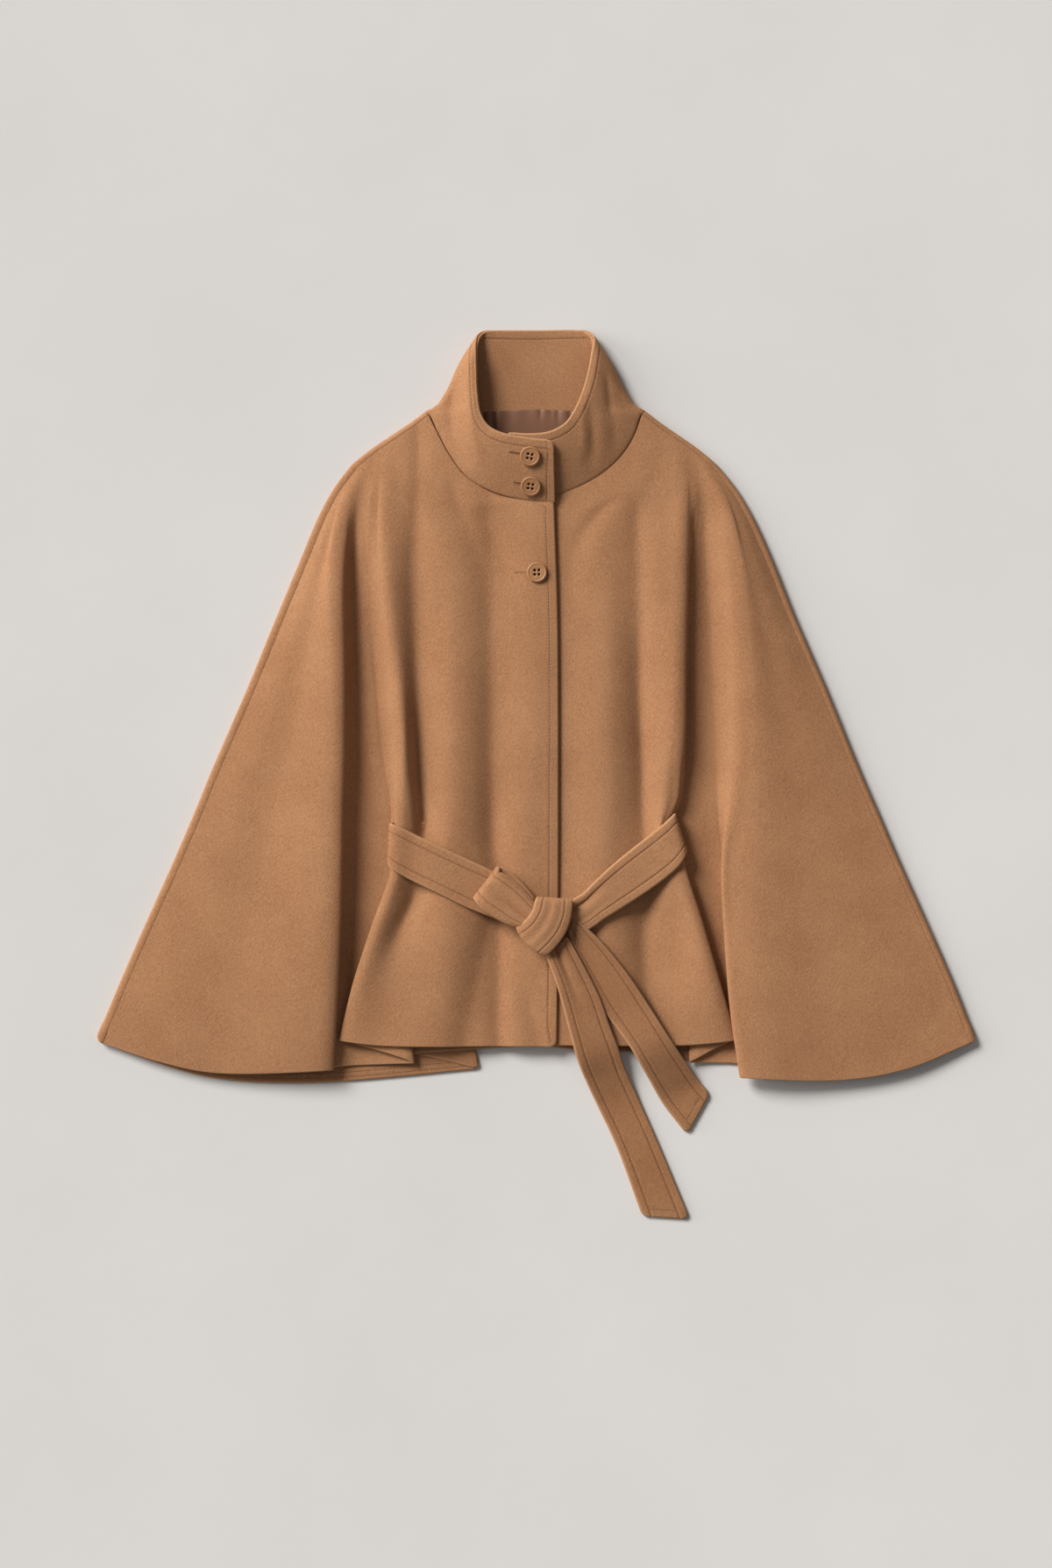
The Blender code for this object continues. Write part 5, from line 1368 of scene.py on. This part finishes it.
# The knot's own turn is a band that comes over the top from under the right run and wraps down to the lower
# left. It bulges over the layers inside it.
KnotStation = namedtuple("KnotStation", "left right left_z right_z bulge")
KNOT_TURN = (
    KnotStation((6, -150), (38, -152), 29, 27.5, 0),
    KnotStation((2.5, -140.8), (39.2, -143.2), 34.5, 32.5, 0.5),
    KnotStation((1.0, -142.4), (39.2, -148), 37.6, 34.5, 1.5),
    KnotStation((-1.5, -152.5), (37.6, -161.5), 38.6, 36, 2.5),
    KnotStation((-7.5, -163), (31.6, -179), 38.6, 37, 2.5),
    KnotStation((-15, -170), (22, -193), 37.2, 36.8, 2.5),
    KnotStation((-21, -173), (11.6, -203.5), 33.4, 34.5, 1.5),
    KnotStation((-17, -170), (16, -198), 27, 28, 0),
)
KNOT_SPREAD = (0, 0, 0, 0, 0.5, 2, 5.5, 3)      # how far the band's middle stands out at its lower left end
# Each crease's share across the band, and its depth as a share of the band's bulge
KNOT_CREASES = ((0.4, 0.4), (0.58, -0.2), (0.7, 0.22))
KNOT_CREASE_HALF = 0.07
KNOT_SPREAD_WAY = (-0.68, -0.73)
KNOT_TUCKED = 10        # rows at each end of the band that lie under other stretches


def knot_grid(steps=9):
    spans = [even(steps)] * (len(KNOT_TURN) - 1)
    left = curve_through([(*s.left, s.left_z) for s in KNOT_TURN], spans)
    right = curve_through([(*s.right, s.right_z) for s in KNOT_TURN], spans)
    widths = curve_through([(s.bulge, wide, 0) for s, wide in zip(KNOT_TURN, KNOT_SPREAD)], spans)
    bulge, spread = widths[:, :2].T
    grid = mix(left[:, None], right[:, None], BELT_SHARES[:, :, None])
    middle = 1 - np.abs(2 * BELT_SHARES - 1) ** 2.5
    grid[:, :, 2] += bulge[:, None] * middle
    for place, depth in KNOT_CREASES:
        grid[:, :, 2] -= depth * bulge[:, None] * np.exp(-((BELT_SHARES - place) / KNOT_CREASE_HALF) ** 2)
    grid[:, :, :2] += (spread[:, None] * middle)[:, :, None] * np.array(KNOT_SPREAD_WAY)
    return grid


turn_grid = knot_grid()
knot_wall = belt_wall(turn_grid)
knot = cloth("belt_knot_cloth", turn_grid, knot_wall, wool, sunk=belt_rows(turn_grid))
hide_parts("belt_knot")
face, normal = upper_face(turn_grid, knot_wall)
seen = slice(KNOT_TUCKED, -KNOT_TUCKED)
knot_rows = [(face[seen, column], normal[seen, column]) for column in BELT_EDGE_COLUMNS]
knot_stitching = stitching("belt_knot_stitching", knot_rows)


# ---------------------------------------------------------------- floor, light and camera
FLOOR_SIZE = 8.0
FLOOR_Z = -0.0004       # just below the cape's underside
CAMERA_HEIGHT = 6.0
PICTURE_CENTRE = (-0.0115, -0.011)
PICTURE_LONG = 1.789    # metres of floor along the picture's long side
SENSOR = 36.0

bpy.ops.mesh.primitive_plane_add(size=FLOOR_SIZE, location=(0, 0, FLOOR_Z))
floor = bpy.context.object
floor.name = "floor"
material, tree, shader = new_material("pale plaster")
place = add_node(tree, "TexCoord").outputs["Object"]
cloudy = add_node(tree, "TexNoise", {"Vector": place, "Scale": 3.0, "Detail": 6.0, "Roughness": 0.6})
tree.links.new(blend(tree, cloudy.outputs["Fac"], "d3cfca", "dedad6"), shader.inputs["Base Color"])
shader.inputs["Roughness"].default_value = 0.9
floor.data.materials.append(material)

camera_data = bpy.data.cameras.new("camera")
camera_data.sensor_width = SENSOR
camera_data.lens = SENSOR * CAMERA_HEIGHT / PICTURE_LONG
camera = bpy.data.objects.new("camera", camera_data)
camera.location = (*PICTURE_CENTRE, CAMERA_HEIGHT)
bpy.context.scene.collection.objects.link(camera)
bpy.context.scene.camera = camera


# Two large soft sources far off, so that the floor is lit evenly: the key from the upper left, and one that
# rakes across from the left and brings out the folds. The world gives a weak even fill.
Lamp = namedtuple("Lamp", "towards strength softness")
LAMPS = {
    "key": Lamp((0.62, -0.58, -0.60), 3.55, 24.0),
    "rake": Lamp((0.92, -0.20, -0.30), 1.4, 34.0),
}
FILL_STRENGTH = 0.2
for name, lamp in LAMPS.items():
    lamp_data = bpy.data.lights.new(name, "SUN")
    lamp_data.energy = lamp.strength
    lamp_data.angle = math.radians(lamp.softness)
    lamp_object = bpy.data.objects.new(name, lamp_data)
    lamp_object.rotation_euler = Vector(lamp.towards).to_track_quat("-Z", "Y").to_euler()
    bpy.context.scene.collection.objects.link(lamp_object)
world = bpy.data.worlds.new("studio")
bpy.context.scene.world = world
world.use_nodes = True
world.node_tree.nodes["Background"].inputs["Color"].default_value = (1, 1, 1, 1)
world.node_tree.nodes["Background"].inputs["Strength"].default_value = FILL_STRENGTH
bpy.context.scene.view_settings.view_transform = "Standard"
